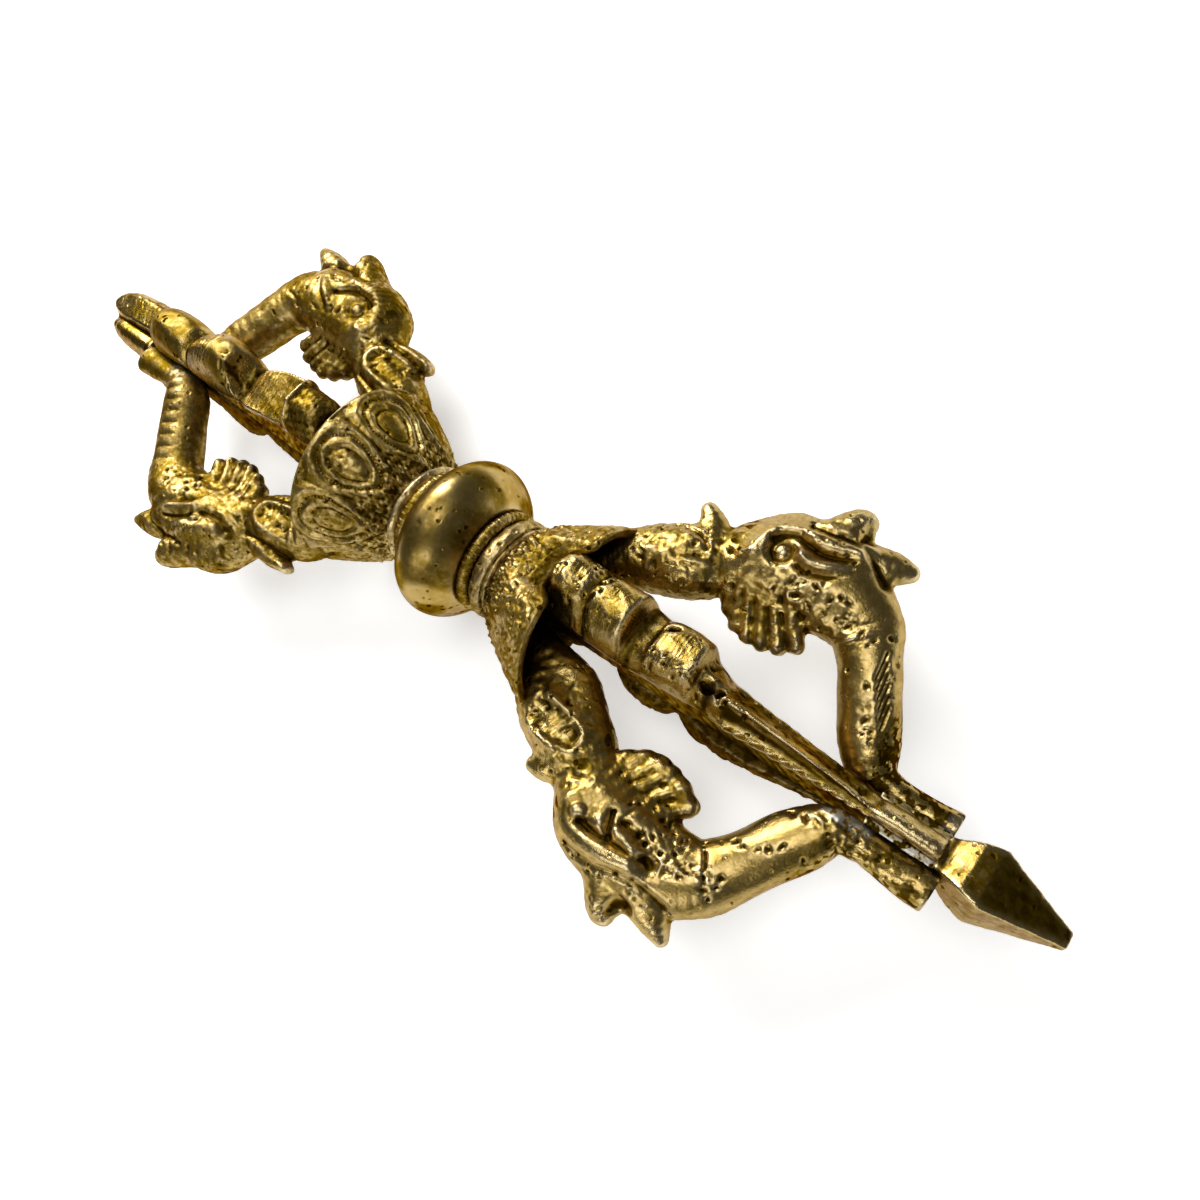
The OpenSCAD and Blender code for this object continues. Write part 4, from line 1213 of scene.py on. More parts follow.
def collar(end, material):
    """Rounded collar with the spigot that carries the beaded wire."""
    seat = SEATS[end]
    rng = np.random.default_rng(7 if end == "front" else 8)
    ring = seat + WIRE_D
    t = np.linspace(0, 1, 24)
    swell = (COLLAR_R - CUP_FOOT_R) * np.sqrt(np.sin(np.pi * t).clip(0))
    bulge = np.stack([ring + (CUP_X - ring) * t, CUP_FOOT_R + swell], 1)
    outline = np.vstack([[(seat, BORE_R), (seat, SPIGOT_R), (ring, SPIGOT_R)], bulge, [(CUP_X, BORE_R)]])
    outline = resampled(outline, 0.16)
    wear = 1.0 if end == "front" else 0.45

    def relief(rows, angle):
        px, pr = rows.T
        dents = round_pits(px, angle, pr, rng, int(60 * wear), 0.22, 0.28, ring, CUP_X)
        slow = 0.12 * wear * wobble(px[:, None], 6 * np.sin(angle), 6 * np.cos(angle), 3.0, 11)
        crack = -0.3 * wear * bell(px[:, None] - 8.35 - 0.12 * np.sin(3 * angle), 0.14)
        return np.where((pr > 5.9)[:, None], dents - np.abs(slow) + crack, 0)

    points, quads = turned_mesh(outline, COLLAR_SIDES, relief)
    hollow, edge = grime(points, quads)
    mottle = blotches(points, 1.4, 12)
    patina_and_shade = np.maximum(hollow, 0.5 * wear * step_up(mottle, 0.5, 0.8))
    turn = HALF_TURN if end == "rear" else None
    piece = make_object(end + "_collar", points, quads, {"patina_and_shade": patina_and_shade, "polish_and_sheen": edge}, turn)
    return fit_on(piece, end + "_collar", material)


def cup_radius(x):
    """Radius of the cup's outer skin, without petals."""
    return CUP_FOOT_R + CUP_FLARE * np.clip((x - CUP_X) / CUP_RUN, 0, 1) ** 0.7


def off_middle(angle):
    """Turn between a place on the front cup and the nearer of its two plain prongs."""
    return np.abs((angle - ROLL["front"] + math.pi / 2) % math.pi - math.pi / 2)


def knob_side(end, angle):
    """1 where the plain prongs' root knobs pass the front cup's lip, 0 away from them."""
    if end == "rear":
        return np.zeros_like(angle)
    return 1 - step_up(CUP_LARGEST_R * np.sin(off_middle(angle)), 3.4, 5.4)


def flat_side(end, angle):
    """1 on the flattened skin round the plain prongs of the front cup, 0 by the arms."""
    if end == "rear":
        return np.zeros_like(angle)
    return 1 - step_up(CUP_LARGEST_R * np.sin(off_middle(angle)), 4.0, 10.0)


def lip_recess(end, angle):
    """How far the lip is cut back round the cup."""
    if end == "rear":
        return np.zeros_like(angle)
    return np.cos(off_middle(angle)) ** 2 + 2.5 * knob_side(end, angle)


def petal_place(x, angle, start):
    """Place inside the nearest petal: 0 at its middle and 1 on its outline, narrow towards the collar."""
    turn = (angle - start + math.pi / PETALS) % (2 * math.pi / PETALS) - math.pi / PETALS
    u = turn / (math.pi / PETALS)
    v = (x - PETAL_MIDDLE) / PETAL_HALF
    return np.sqrt(v**2 + (u / (0.86 + 0.2 * np.clip(v, -1.2, 1.2))) ** 2)


def petal_relief(x, angle, start):
    """Petals with a broad smooth border, a beaded groove, an inner ridge and a domed leaf."""
    s = petal_place(x, angle, start) + 0.035 * wobble(x, 12 * np.sin(angle), 12 * np.cos(angle), 3.0, 23)
    rise = 0.42 * bell(s - 1.0, 0.14)
    rise -= 0.14 * bell(s - 0.83, 0.07)
    rise += 0.26 * bell(s - 0.66, 0.1)
    rise -= 0.16 * bell(s - 0.5, 0.07)
    return rise + 0.3 * (1 - step_up(s, 0.15, 0.5)) - 0.24 * step_up(s, 1.12, 1.3)


def cup_rows():
    """Outline of the cup's wall as x, offset from the outer skin and whether it follows the wall."""
    rows = [(CUP_X, r, 0) for r in np.linspace(BORE_R, 5.9, 10)]
    rows += [(x, 0.0, 1) for x in np.linspace(CUP_X, MOUTH_X - 0.5, 68)]
    for t in np.linspace(0.3, 2.84, 9):
        rows.append((MOUTH_X - 0.5 * (1 - math.sin(t)), -0.5 * CUP_WALL * (1 - math.cos(t)), 1))
    rows += [(x, -CUP_WALL, 1) for x in np.linspace(MOUTH_X - 0.5, FLOOR_X, 26)]
    inner = float(cup_radius(FLOOR_X)) - CUP_WALL - 0.2
    rows += [(FLOOR_X, r, 0) for r in np.linspace(inner, BORE_R, 12)]
    return np.array(rows)


def lotus_cup(end, material):
    """Flared cup with eight petals round its skin, crisp at the rear and corroded at the front."""
    rng = np.random.default_rng(15 if end == "front" else 16)
    start = PETAL_STARTS[end]
    rows = cup_rows()
    angle = 2 * math.pi * np.arange(CUP_SIDES) / CUP_SIDES
    x = np.repeat(rows[:, :1], CUP_SIDES, 1)
    wall = rows[:, 2:] > 0
    x = np.where(wall, x - lip_recess(end, angle)[None, :] * step_up(x, 11.5, MOUTH_X), x)
    r = np.where(wall, cup_radius(x) + rows[:, 1:2], rows[:, 1:2])
    dip = 1.3 * knob_side(end, angle) + 0.8 * flat_side(end, angle)
    r = r - np.where(wall, dip[None, :] * step_up(x, 10.5, 15.0), 0)
    outer = wall & (rows[:, 1:2] == 0)
    crisp = 0.12 if end == "front" else 1.0
    place = (x, r * np.sin(angle), r * np.cos(angle))
    lift = crisp * petal_relief(x, angle[None, :], start)
    stipple = (1 - step_up(x, 11.2, 13.6)) * step_up(petal_place(x, angle[None, :], start), 0.72, 1.0)
    lift += (stipple + 0.25) * 0.13 * wobble(*place, 0.8, 17)
    lift += (0.07 if end == "front" else 0.03) * wobble(*place, 1.8, 19)
    count = 420 if end == "front" else 40
    lift += round_pits(rows[:, 0], angle, r[:, 0], rng, count, 0.2, 0.3, 9.2, 19.4)
    slope = CUP_SLOPE * np.clip((x - CUP_X) / CUP_RUN, 0.05, 1) ** -0.3
    norm = np.hypot(slope, 1)
    lift = np.where(outer, lift * step_up(x, CUP_X, CUP_X + 0.4), 0)
    x = np.minimum(x - lift * slope / norm, MOUTH_X)
    r = np.minimum(r + lift / norm, CUP_LARGEST_R)
    points = np.stack([x, r * np.sin(angle), r * np.cos(angle)], -1).reshape(-1, 3)
    quads = ring_quads(len(rows), CUP_SIDES)
    hollow, edge = grime(points, quads, 0.07, 0.24)
    mottle = blotches(points, 1.2, 18)
    inside = np.repeat(rows[:, 1] < -1.0, CUP_SIDES)
    near_knob = np.tile(knob_side(end, angle), len(rows)) * step_up(points[:, 0], 13.2, 14.4)
    patina_and_shade = most(
        hollow,
        0.8 * stipple.ravel() * mottle,
        (0.55 if end == "front" else 0.3) * mottle,
        0.45 * inside,
        0.8 * near_knob,
    )
    edge = edge * (1 - 0.8 * step_up(points[:, 0], 15.5, 17.5)) if end == "front" else 0.7 * edge
    turn = HALF_TURN if end == "rear" else None
    piece = make_object(end + "_lotus_cup", points, quads, {"patina_and_shade": patina_and_shade, "polish_and_sheen": edge}, turn)
    return fit_on(piece, end + "_lotus_cup", material)


def petal_lines(end):
    """Closed lines on the cup's skin that the petals' beads follow."""
    share = 2 * math.pi * np.arange(72) / 72
    v = 0.83 * np.sin(share)
    u = 0.83 * np.cos(share) * (0.86 + 0.2 * v)
    points, edges = [], []
    for k in range(PETALS):
        angle = PETAL_STARTS[end] + (2 * k + u) * math.pi / PETALS
        x = PETAL_MIDDLE + v * PETAL_HALF
        shown = x < MOUTH_X - lip_recess(end, angle) - 0.9
        r = cup_radius(x) - 0.08
        first = len(points)
        points += [tuple(p) for p in np.stack([x, r * np.sin(angle), r * np.cos(angle)], 1)]
        n = len(x)
        edges += [(first + i, first + (i + 1) % n) for i in range(n) if shown[i] and shown[(i + 1) % n]]
    points = np.array(points)
    if end == "rear":
        points = points @ HALF_TURN.T
    return points * MM, edges


# Geometry Nodes: beads along lines and round the spigots


def add_input(tree, kind, name, default):
    """Input of a node group, with the value that it starts from."""
    socket = tree.interface.new_socket(name, in_out="INPUT", socket_type=kind)
    if default is not None:
        socket.default_value = default


def node_at(tree, kind, **values):
    """New node with its settings."""
    node = tree.nodes.new(kind)
    for key, value in values.items():
        setattr(node, key, value)
    return node


def bead_row_tree():
    """Small beads set along every line of a mesh, each sized a little differently."""
    tree = bpy.data.node_groups.new("Bead row", "GeometryNodeTree")
    tree.interface.new_socket("Geometry", in_out="INPUT", socket_type="NodeSocketGeometry")
    add_input(tree, "NodeSocketFloat", "Spacing", 0.0005)
    add_input(tree, "NodeSocketFloat", "Bead Radius", 0.0002)
    add_input(tree, "NodeSocketInt", "Seed", 0)
    add_input(tree, "NodeSocketMaterial", "Finish", None)
    tree.interface.new_socket("Geometry", in_out="OUTPUT", socket_type="NodeSocketGeometry")
    link = tree.links.new
    given, done = node_at(tree, "NodeGroupInput"), node_at(tree, "NodeGroupOutput")
    curve = node_at(tree, "GeometryNodeMeshToCurve")
    even = node_at(tree, "GeometryNodeResampleCurve", mode="LENGTH")
    bead = node_at(tree, "GeometryNodeMeshIcoSphere")
    bead.inputs["Subdivisions"].default_value = 1
    smooth = node_at(tree, "GeometryNodeSetShadeSmooth")
    size = node_at(tree, "FunctionNodeRandomValue", data_type="FLOAT")
    size.inputs[2].default_value, size.inputs[3].default_value = 0.8, 1.12
    set_on = node_at(tree, "GeometryNodeInstanceOnPoints")
    real = node_at(tree, "GeometryNodeRealizeInstances")
    finish = node_at(tree, "GeometryNodeSetMaterial")
    link(given.outputs["Geometry"], curve.inputs["Mesh"])
    link(curve.outputs["Curve"], even.inputs["Curve"])
    link(given.outputs["Spacing"], even.inputs["Length"])
    link(given.outputs["Bead Radius"], bead.inputs["Radius"])
    link(bead.outputs["Mesh"], smooth.inputs["Geometry"])
    link(given.outputs["Seed"], size.inputs["Seed"])
    link(even.outputs["Curve"], set_on.inputs["Points"])
    link(smooth.outputs["Geometry"], set_on.inputs["Instance"])
    link(size.outputs[1], set_on.inputs["Scale"])
    link(set_on.outputs["Instances"], real.inputs["Geometry"])
    link(real.outputs["Geometry"], finish.inputs["Geometry"])
    link(given.outputs["Finish"], finish.inputs["Material"])
    link(finish.outputs["Geometry"], done.inputs["Geometry"])
    return tree


def beaded_wire_tree():
    """Ring of narrow touching beads threaded on a core, standing across the sceptre."""
    tree = bpy.data.node_groups.new("Beaded wire", "GeometryNodeTree")
    tree.interface.new_socket("Geometry", in_out="INPUT", socket_type="NodeSocketGeometry")
    add_input(tree, "NodeSocketFloat", "Ring Radius", 0.006)
    add_input(tree, "NodeSocketVector", "Bead Size", (0.0008, 0.0004, 0.0008))
    add_input(tree, "NodeSocketFloat", "Core Radius", 0.0006)
    add_input(tree, "NodeSocketInt", "Bead Count", 50)
    add_input(tree, "NodeSocketVector", "Place", (0, 0, 0))
    add_input(tree, "NodeSocketInt", "Seed", 0)
    add_input(tree, "NodeSocketMaterial", "Finish", None)
    tree.interface.new_socket("Geometry", in_out="OUTPUT", socket_type="NodeSocketGeometry")
    link = tree.links.new
    given, done = node_at(tree, "NodeGroupInput"), node_at(tree, "NodeGroupOutput")
    ring = node_at(tree, "GeometryNodeCurvePrimitiveCircle", mode="RADIUS")
    ring.inputs["Resolution"].default_value = 144
    stand = node_at(tree, "GeometryNodeTransform")
    stand.inputs["Rotation"].default_value = (0, math.pi / 2, 0)
    even = node_at(tree, "GeometryNodeResampleCurve", mode="COUNT")
    ball = node_at(tree, "GeometryNodeMeshUVSphere")
    ball.inputs["Segments"].default_value, ball.inputs["Rings"].default_value = 10, 6
    ball.inputs["Radius"].default_value = 1.0
    bead = node_at(tree, "GeometryNodeTransform")
    turn = node_at(tree, "ShaderNodeCombineXYZ")
    size = node_at(tree, "FunctionNodeRandomValue", data_type="FLOAT")
    size.inputs[2].default_value, size.inputs[3].default_value = 0.9, 1.0
    set_on = node_at(tree, "GeometryNodeInstanceOnPoints")
    rod = node_at(tree, "GeometryNodeCurvePrimitiveCircle", mode="RADIUS")
    rod.inputs["Resolution"].default_value = 12
    core = node_at(tree, "GeometryNodeCurveToMesh")
    both = node_at(tree, "GeometryNodeJoinGeometry")
    real = node_at(tree, "GeometryNodeRealizeInstances")
    smooth = node_at(tree, "GeometryNodeSetShadeSmooth")
    finish = node_at(tree, "GeometryNodeSetMaterial")
    step = math_node(tree, "DIVIDE", 2 * math.pi, given.outputs["Bead Count"])
    number = node_at(tree, "GeometryNodeInputIndex").outputs[0]
    link(math_node(tree, "MULTIPLY", number, step), turn.inputs["X"])
    link(given.outputs["Ring Radius"], ring.inputs["Radius"])
    link(ring.outputs["Curve"], stand.inputs["Geometry"])
    link(given.outputs["Place"], stand.inputs["Translation"])
    link(stand.outputs["Geometry"], even.inputs["Curve"])
    link(given.outputs["Bead Count"], even.inputs["Count"])
    link(ball.outputs["Mesh"], bead.inputs["Geometry"])
    link(given.outputs["Bead Size"], bead.inputs["Scale"])
    link(given.outputs["Seed"], size.inputs["Seed"])
    link(even.outputs["Curve"], set_on.inputs["Points"])
    link(bead.outputs["Geometry"], set_on.inputs["Instance"])
    link(turn.outputs["Vector"], set_on.inputs["Rotation"])
    link(size.outputs[1], set_on.inputs["Scale"])
    link(given.outputs["Core Radius"], rod.inputs["Radius"])
    link(stand.outputs["Geometry"], core.inputs["Curve"])
    link(rod.outputs["Curve"], core.inputs["Profile Curve"])
    link(set_on.outputs["Instances"], both.inputs["Geometry"])
    link(core.outputs["Mesh"], both.inputs["Geometry"])
    link(both.outputs["Geometry"], real.inputs["Geometry"])
    link(real.outputs["Geometry"], smooth.inputs["Geometry"])
    link(smooth.outputs["Geometry"], finish.inputs["Geometry"])
    link(given.outputs["Finish"], finish.inputs["Material"])
    link(finish.outputs["Geometry"], done.inputs["Geometry"])
    return tree


def grown(name, tree, values, points=(), edges=()):
    """Plain mesh object that a Geometry Nodes tree makes from a mesh of lines."""
    seed_mesh = bpy.data.meshes.new(name + "_lines")
    seed_mesh.from_pydata([tuple(p) for p in points], [tuple(e) for e in edges], [])
    maker = bpy.data.objects.new(name + "_lines", seed_mesh)
    bpy.context.scene.collection.objects.link(maker)
    modifier = maker.modifiers.new(tree.name, "NODES")
    modifier.node_group = tree
    for item in tree.interface.items_tree:
        if item.item_type == "SOCKET" and item.in_out == "INPUT" and item.name in values:
            modifier[item.identifier] = values[item.name]
    bpy.context.view_layer.update()
    graph = bpy.context.evaluated_depsgraph_get()
    mesh = bpy.data.meshes.new_from_object(maker.evaluated_get(graph), depsgraph=graph)
    if not len(mesh.polygons):
        raise RuntimeError(f"{name} came out empty")
    mesh.name = name
    maker.modifiers.clear()
    bpy.data.objects.remove(maker)
    bpy.data.meshes.remove(seed_mesh)
    piece = bpy.data.objects.new(name + "_finished", mesh)
    bpy.context.scene.collection.objects.link(piece)
    return piece


# Finishes


def shader_group(name, inputs, outputs):
    """Empty shader group with its sockets and its two end nodes."""
    tree = bpy.data.node_groups.new(name, "ShaderNodeTree")
    for kind, label, default in inputs:
        add_input(tree, kind, label, default)
    for kind, label in outputs:
        tree.interface.new_socket(label, in_out="OUTPUT", socket_type=kind)
    return tree, node_at(tree, "NodeGroupInput"), node_at(tree, "NodeGroupOutput")


def math_node(tree, operation, a, b):
    """Result of an operation on two numbers or sockets."""
    node = node_at(tree, "ShaderNodeMath", operation=operation)
    for socket, value in zip(node.inputs, (a, b)):
        if isinstance(value, (int, float)):
            socket.default_value = value
        else:
            tree.links.new(value, socket)
    return node.outputs[0]


def ramp_node(tree, value, low, high):
    """Value on a smooth ramp from 0 at low to 1 at high."""
    node = node_at(tree, "ShaderNodeMapRange", interpolation_type="SMOOTHSTEP")
    node.inputs["From Min"].default_value = low
    node.inputs["From Max"].default_value = high
    tree.links.new(value, node.inputs["Value"])
    return node.outputs["Result"]


def mix_colour(tree, share, a, b):
    """Colour between two colours."""
    node = node_at(tree, "ShaderNodeMix", data_type="RGBA")
    for socket, value in ((node.inputs[0], share), (node.inputs[6], a), (node.inputs[7], b)):
        tree.links.new(value, socket)
    return node.outputs[2]


def noise_node(tree, vector, scale, detail, rough=0.6):
    """Cloudy noise at a place."""
    node = node_at(tree, "ShaderNodeTexNoise")
    node.inputs["Detail"].default_value = detail
    node.inputs["Roughness"].default_value = rough
    node.inputs["Scale"].default_value = scale
    tree.links.new(vector, node.inputs["Vector"])
    return node.outputs["Fac"]


def casting_skin_group():
    """Fine grain, lumps and pinholes of a cast surface, as a height."""
    tree, given, done = shader_group(
        "Casting skin",
        [
            ("NodeSocketFloat", "Grain", 0.3),
            ("NodeSocketFloat", "Pinholes", 0.5),
            ("NodeSocketFloat", "Pinhole Scale", 800.0),
        ],
        [("NodeSocketFloat", "Height"), ("NodeSocketFloat", "Holes")],
    )
    place = node_at(tree, "ShaderNodeTexCoord").outputs["Object"]
    grain = noise_node(tree, place, 2600.0, 4.0)
    lumps = noise_node(tree, place, 700.0, 4.0)
    bent = node_at(tree, "ShaderNodeVectorMath", operation="ADD")
    swirl = node_at(tree, "ShaderNodeVectorMath", operation="SCALE")
    swirl.inputs["Scale"].default_value = 0.0006
    warp = node_at(tree, "ShaderNodeTexNoise")
    warp.inputs["Scale"].default_value = 1500.0
    tree.links.new(place, warp.inputs["Vector"])
    tree.links.new(warp.outputs["Color"], swirl.inputs[0])
    tree.links.new(place, bent.inputs[0])
    tree.links.new(swirl.outputs[0], bent.inputs[1])
    cells = node_at(tree, "ShaderNodeTexVoronoi", feature="F1")
    tree.links.new(bent.outputs[0], cells.inputs["Vector"])
    tree.links.new(given.outputs["Pinhole Scale"], cells.inputs["Scale"])
    bare = ramp_node(tree, cells.outputs["Distance"], 0.14, 0.3)
    some = ramp_node(tree, noise_node(tree, place, 300.0, 3.0), 0.48, 0.6)
    holes = math_node(tree, "MULTIPLY", math_node(tree, "SUBTRACT", 1.0, bare), some)
    holes = math_node(tree, "MULTIPLY", holes, given.outputs["Pinholes"])
    grain = math_node(tree, "MULTIPLY", grain, 0.8)
    skin = math_node(tree, "ADD", grain, math_node(tree, "MULTIPLY", lumps, 0.6))
    skin = math_node(tree, "MULTIPLY", skin, given.outputs["Grain"])
    tree.links.new(math_node(tree, "SUBTRACT", skin, holes), done.inputs["Height"])
    tree.links.new(holes, done.inputs["Holes"])
    return tree


def file_marks_group():
    """Long fine scratches of a file or a cloth wheel, as a height."""
    tree, given, done = shader_group(
        "File marks",
        [("NodeSocketVector", "Stretch", (300.0, 40.0, 40.0)), ("NodeSocketFloat", "Depth", 0.4)],
        [("NodeSocketFloat", "Height")],
    )
    place = node_at(tree, "ShaderNodeTexCoord").outputs["Object"]
    scaled = node_at(tree, "ShaderNodeVectorMath", operation="MULTIPLY")
    tree.links.new(place, scaled.inputs[0])
    tree.links.new(given.outputs["Stretch"], scaled.inputs[1])
    lines = noise_node(tree, scaled.outputs[0], 14.0, 5.0, 0.7)
    tree.links.new(math_node(tree, "MULTIPLY", lines, given.outputs["Depth"]), done.inputs["Height"])
    return tree


def brass_wear_group():
    """Colour and roughness of brass with patina in its hollows, painted shade, bright edges, painted
    highlights and solder smears.
    """
    tree, given, done = shader_group(
        "Brass wear",
        [
            ("NodeSocketColor", "Brass", (0.5, 0.34, 0.08, 1)),
            ("NodeSocketColor", "Worn Brass and Sheen", (0.8, 0.66, 0.3, 1)),
            ("NodeSocketColor", "Patina and Shade", (0.06, 0.04, 0.01, 1)),
            ("NodeSocketColor", "Silver", (0.6, 0.6, 0.57, 1)),
            ("NodeSocketFloat", "Polished Roughness", 0.15),
            ("NodeSocketFloat", "Dull Roughness", 0.4),
            ("NodeSocketFloat", "Tarnish", 0.5),
            ("NodeSocketFloat", "Holes", 0.0),
            ("NodeSocketFloat", "Coat Share", 0.5),
        ],
        [("NodeSocketColor", "Color"), ("NodeSocketFloat", "Roughness"), ("NodeSocketFloat", "Coat")],
    )
    place = node_at(tree, "ShaderNodeTexCoord").outputs["Object"]
    marks = {}
    for key in ("patina_and_shade", "polish_and_sheen", "silver"):
        marks[key] = node_at(tree, "ShaderNodeAttribute", attribute_name=key).outputs["Fac"]
    cloud = noise_node(tree, place, 160.0, 5.0)
    fleck = noise_node(tree, place, 1100.0, 4.0, 0.7)
    ragged = math_node(tree, "MULTIPLY", cloud, 0.45)
    ragged = math_node(tree, "ADD", ragged, math_node(tree, "MULTIPLY", fleck, 0.55))
    # Darkening from the dark mark, which holds patina and painted shade.
    dirt_and_shade = math_node(tree, "MULTIPLY", marks["patina_and_shade"], math_node(tree, "ADD", 0.4, ragged))
    dirt_and_shade = math_node(tree, "ADD", dirt_and_shade, math_node(tree, "MULTIPLY", given.outputs["Holes"], 0.6))
    dirt_and_shade = ramp_node(tree, dirt_and_shade, 0.18, 0.8)
    haze = math_node(tree, "MULTIPLY", ramp_node(tree, ragged, 0.37, 0.61), given.outputs["Tarnish"])
    dull = math_node(tree, "MAXIMUM", dirt_and_shade, haze)
    # Lightening towards worn brass from the bright mark, which holds worn polish and painted highlights.
    rubbed_and_sheen = ramp_node(tree, math_node(tree, "SUBTRACT", 1.0, ragged), 0.44, 0.62)
    rubbed_and_sheen = math_node(tree, "MULTIPLY", rubbed_and_sheen, 0.3)
    rubbed_and_sheen = math_node(tree, "MAXIMUM", marks["polish_and_sheen"], rubbed_and_sheen)
    bright = mix_colour(tree, rubbed_and_sheen, given.outputs["Brass"], given.outputs["Worn Brass and Sheen"])
    shade = mix_colour(tree, dull, bright, given.outputs["Patina and Shade"])
    smear = math_node(tree, "MULTIPLY", math_node(tree, "SUBTRACT", fleck, 0.5), 0.35)
    smear = ramp_node(tree, math_node(tree, "ADD", marks["silver"], smear), 0.25, 0.9)
    colour = mix_colour(tree, smear, shade, given.outputs["Silver"])
    rough = node_at(tree, "ShaderNodeMix", data_type="FLOAT")
    spread = math_node(tree, "MAXIMUM", dull, math_node(tree, "MULTIPLY", smear, 0.8))
    spread = math_node(tree, "MAXIMUM", spread, math_node(tree, "MULTIPLY", cloud, 0.4))
    tree.links.new(spread, rough.inputs[0])
    tree.links.new(given.outputs["Polished Roughness"], rough.inputs[2])
    tree.links.new(given.outputs["Dull Roughness"], rough.inputs[3])
    clean = math_node(tree, "SUBTRACT", 1.0, ramp_node(tree, dull, 0.05, 0.6))
    tree.links.new(math_node(tree, "MULTIPLY", clean, given.outputs["Coat Share"]), done.inputs["Coat"])
    tree.links.new(colour, done.inputs["Color"])
    tree.links.new(rough.outputs[0], done.inputs["Roughness"])
    return tree


def shared(name, make):
    """Node group of that name, made when it is first needed."""
    return bpy.data.node_groups.get(name) or make()


def placed(tree, group, values):
    """Node group set into a material with its values."""
    node = node_at(tree, "ShaderNodeGroup", node_tree=group)
    for key, value in values.items():
        node.inputs[key].default_value = value
    return node


def brass(name, rough, grain, pinholes, marks, stretch, tarnish):
    """Brass of one finish: how rough, how pitted, how filed and how tarnished it is."""
    if name in bpy.data.materials:
        return bpy.data.materials[name]
    finish = bpy.context.scene.vajra_finish
    material = bpy.data.materials.new(name)
    material.use_nodes = True
    tree = material.node_tree
    shader = tree.nodes["Principled BSDF"]
    shader.inputs["Metallic"].default_value = 1.0
    shader.inputs["Specular Tint"].default_value = (0.5, 0.37, 0.14, 1)
    shader.inputs["Coat IOR"].default_value = 1.75
    shader.inputs["Coat Roughness"].default_value = 0.22
    skin = placed(tree, shared("Casting skin", casting_skin_group), {"Grain": grain, "Pinholes": pinholes})
    lines = placed(tree, shared("File marks", file_marks_group), {"Depth": marks, "Stretch": stretch})
    colours = {
        "Brass": (*finish.brass, 1),
        "Worn Brass and Sheen": (*finish.worn_brass_and_sheen, 1),
        "Patina and Shade": (*finish.patina_and_shade, 1),
        "Silver": (*finish.solder, 1),
    }
    values = {"Polished Roughness": rough[0], "Dull Roughness": rough[1], "Tarnish": tarnish}
    wear = placed(tree, shared("Brass wear", brass_wear_group), {**colours, **values})
    link = tree.links.new
    link(skin.outputs["Holes"], wear.inputs["Holes"])
    link(wear.outputs["Color"], shader.inputs["Base Color"])
    link(wear.outputs["Roughness"], shader.inputs["Roughness"])
    link(wear.outputs["Coat"], shader.inputs["Coat Weight"])
    height = math_node(tree, "ADD", skin.outputs["Height"], lines.outputs["Height"])
    bump = node_at(tree, "ShaderNodeBump")
    bump.inputs["Strength"].default_value = 0.7
    bump.inputs["Distance"].default_value = 0.0002
    link(height, bump.inputs["Height"])
    link(bump.outputs["Normal"], shader.inputs["Normal"])
    return material


def polished_brass():
    return brass("Polished brass", (0.25, 0.45), 0.16, 0.5, 0.1, (120.0, 30.0, 30.0), 0.25)


def cast_brass():
    return brass("Cast brass", (0.28, 0.55), 0.7, 0.9, 0.1, (60.0, 60.0, 60.0), 0.72)


def rubbed_brass():
    return brass("Rubbed cast brass", (0.23, 0.48), 0.5, 0.9, 0.1, (60.0, 60.0, 60.0), 0.34)


def filed_brass():
    return brass("Filed brass", (0.2, 0.48), 0.55, 0.9, 0.4, (220.0, 35.0, 35.0), 0.28)


def spear_brass():
    return brass("Burnished brass", (0.18, 0.42), 0.16, 0.4, 0.2, (40.0, 160.0, 160.0), 0.4)


def solder_metal():
    return brass("Soft solder", (0.3, 0.55), 0.6, 0.6, 0.0, (60.0, 60.0, 60.0), 0.2)


# Sizes and finishes that a user would change


class VajraSizes(bpy.types.PropertyGroup):
    """Sizes of the carving and the beads"""

    carving_step: FloatProperty(
        name="Carving step",
        description="Finest step of the sculpted pieces, in millimetres",
        default=0.175,
        min=0.15,
        max=0.6,
    )
    wire_bead: FloatProperty(
        name="Wire bead",
        description="Half the length of a bead of the beaded wires",
        default=0.84 * MM,
        min=0.0002,
        max=0.001,
        unit="LENGTH",
    )
    wire_beads: IntProperty(
        name="Wire beads",
        description="Beads round each beaded wire",
        default=50,
        min=12,
        max=80,
    )
    petal_bead: FloatProperty(
        name="Petal bead radius",
        description="Radius of a bead in the petals' borders",
        default=0.2 * MM,
        min=0.0001,
        max=0.0005,
        unit="LENGTH",
    )
    petal_spacing: FloatProperty(
        name="Petal bead spacing",
        description="Distance between beads in the petals' borders",
        default=0.46 * MM,
        min=0.0002,
        max=0.002,
        unit="LENGTH",
    )


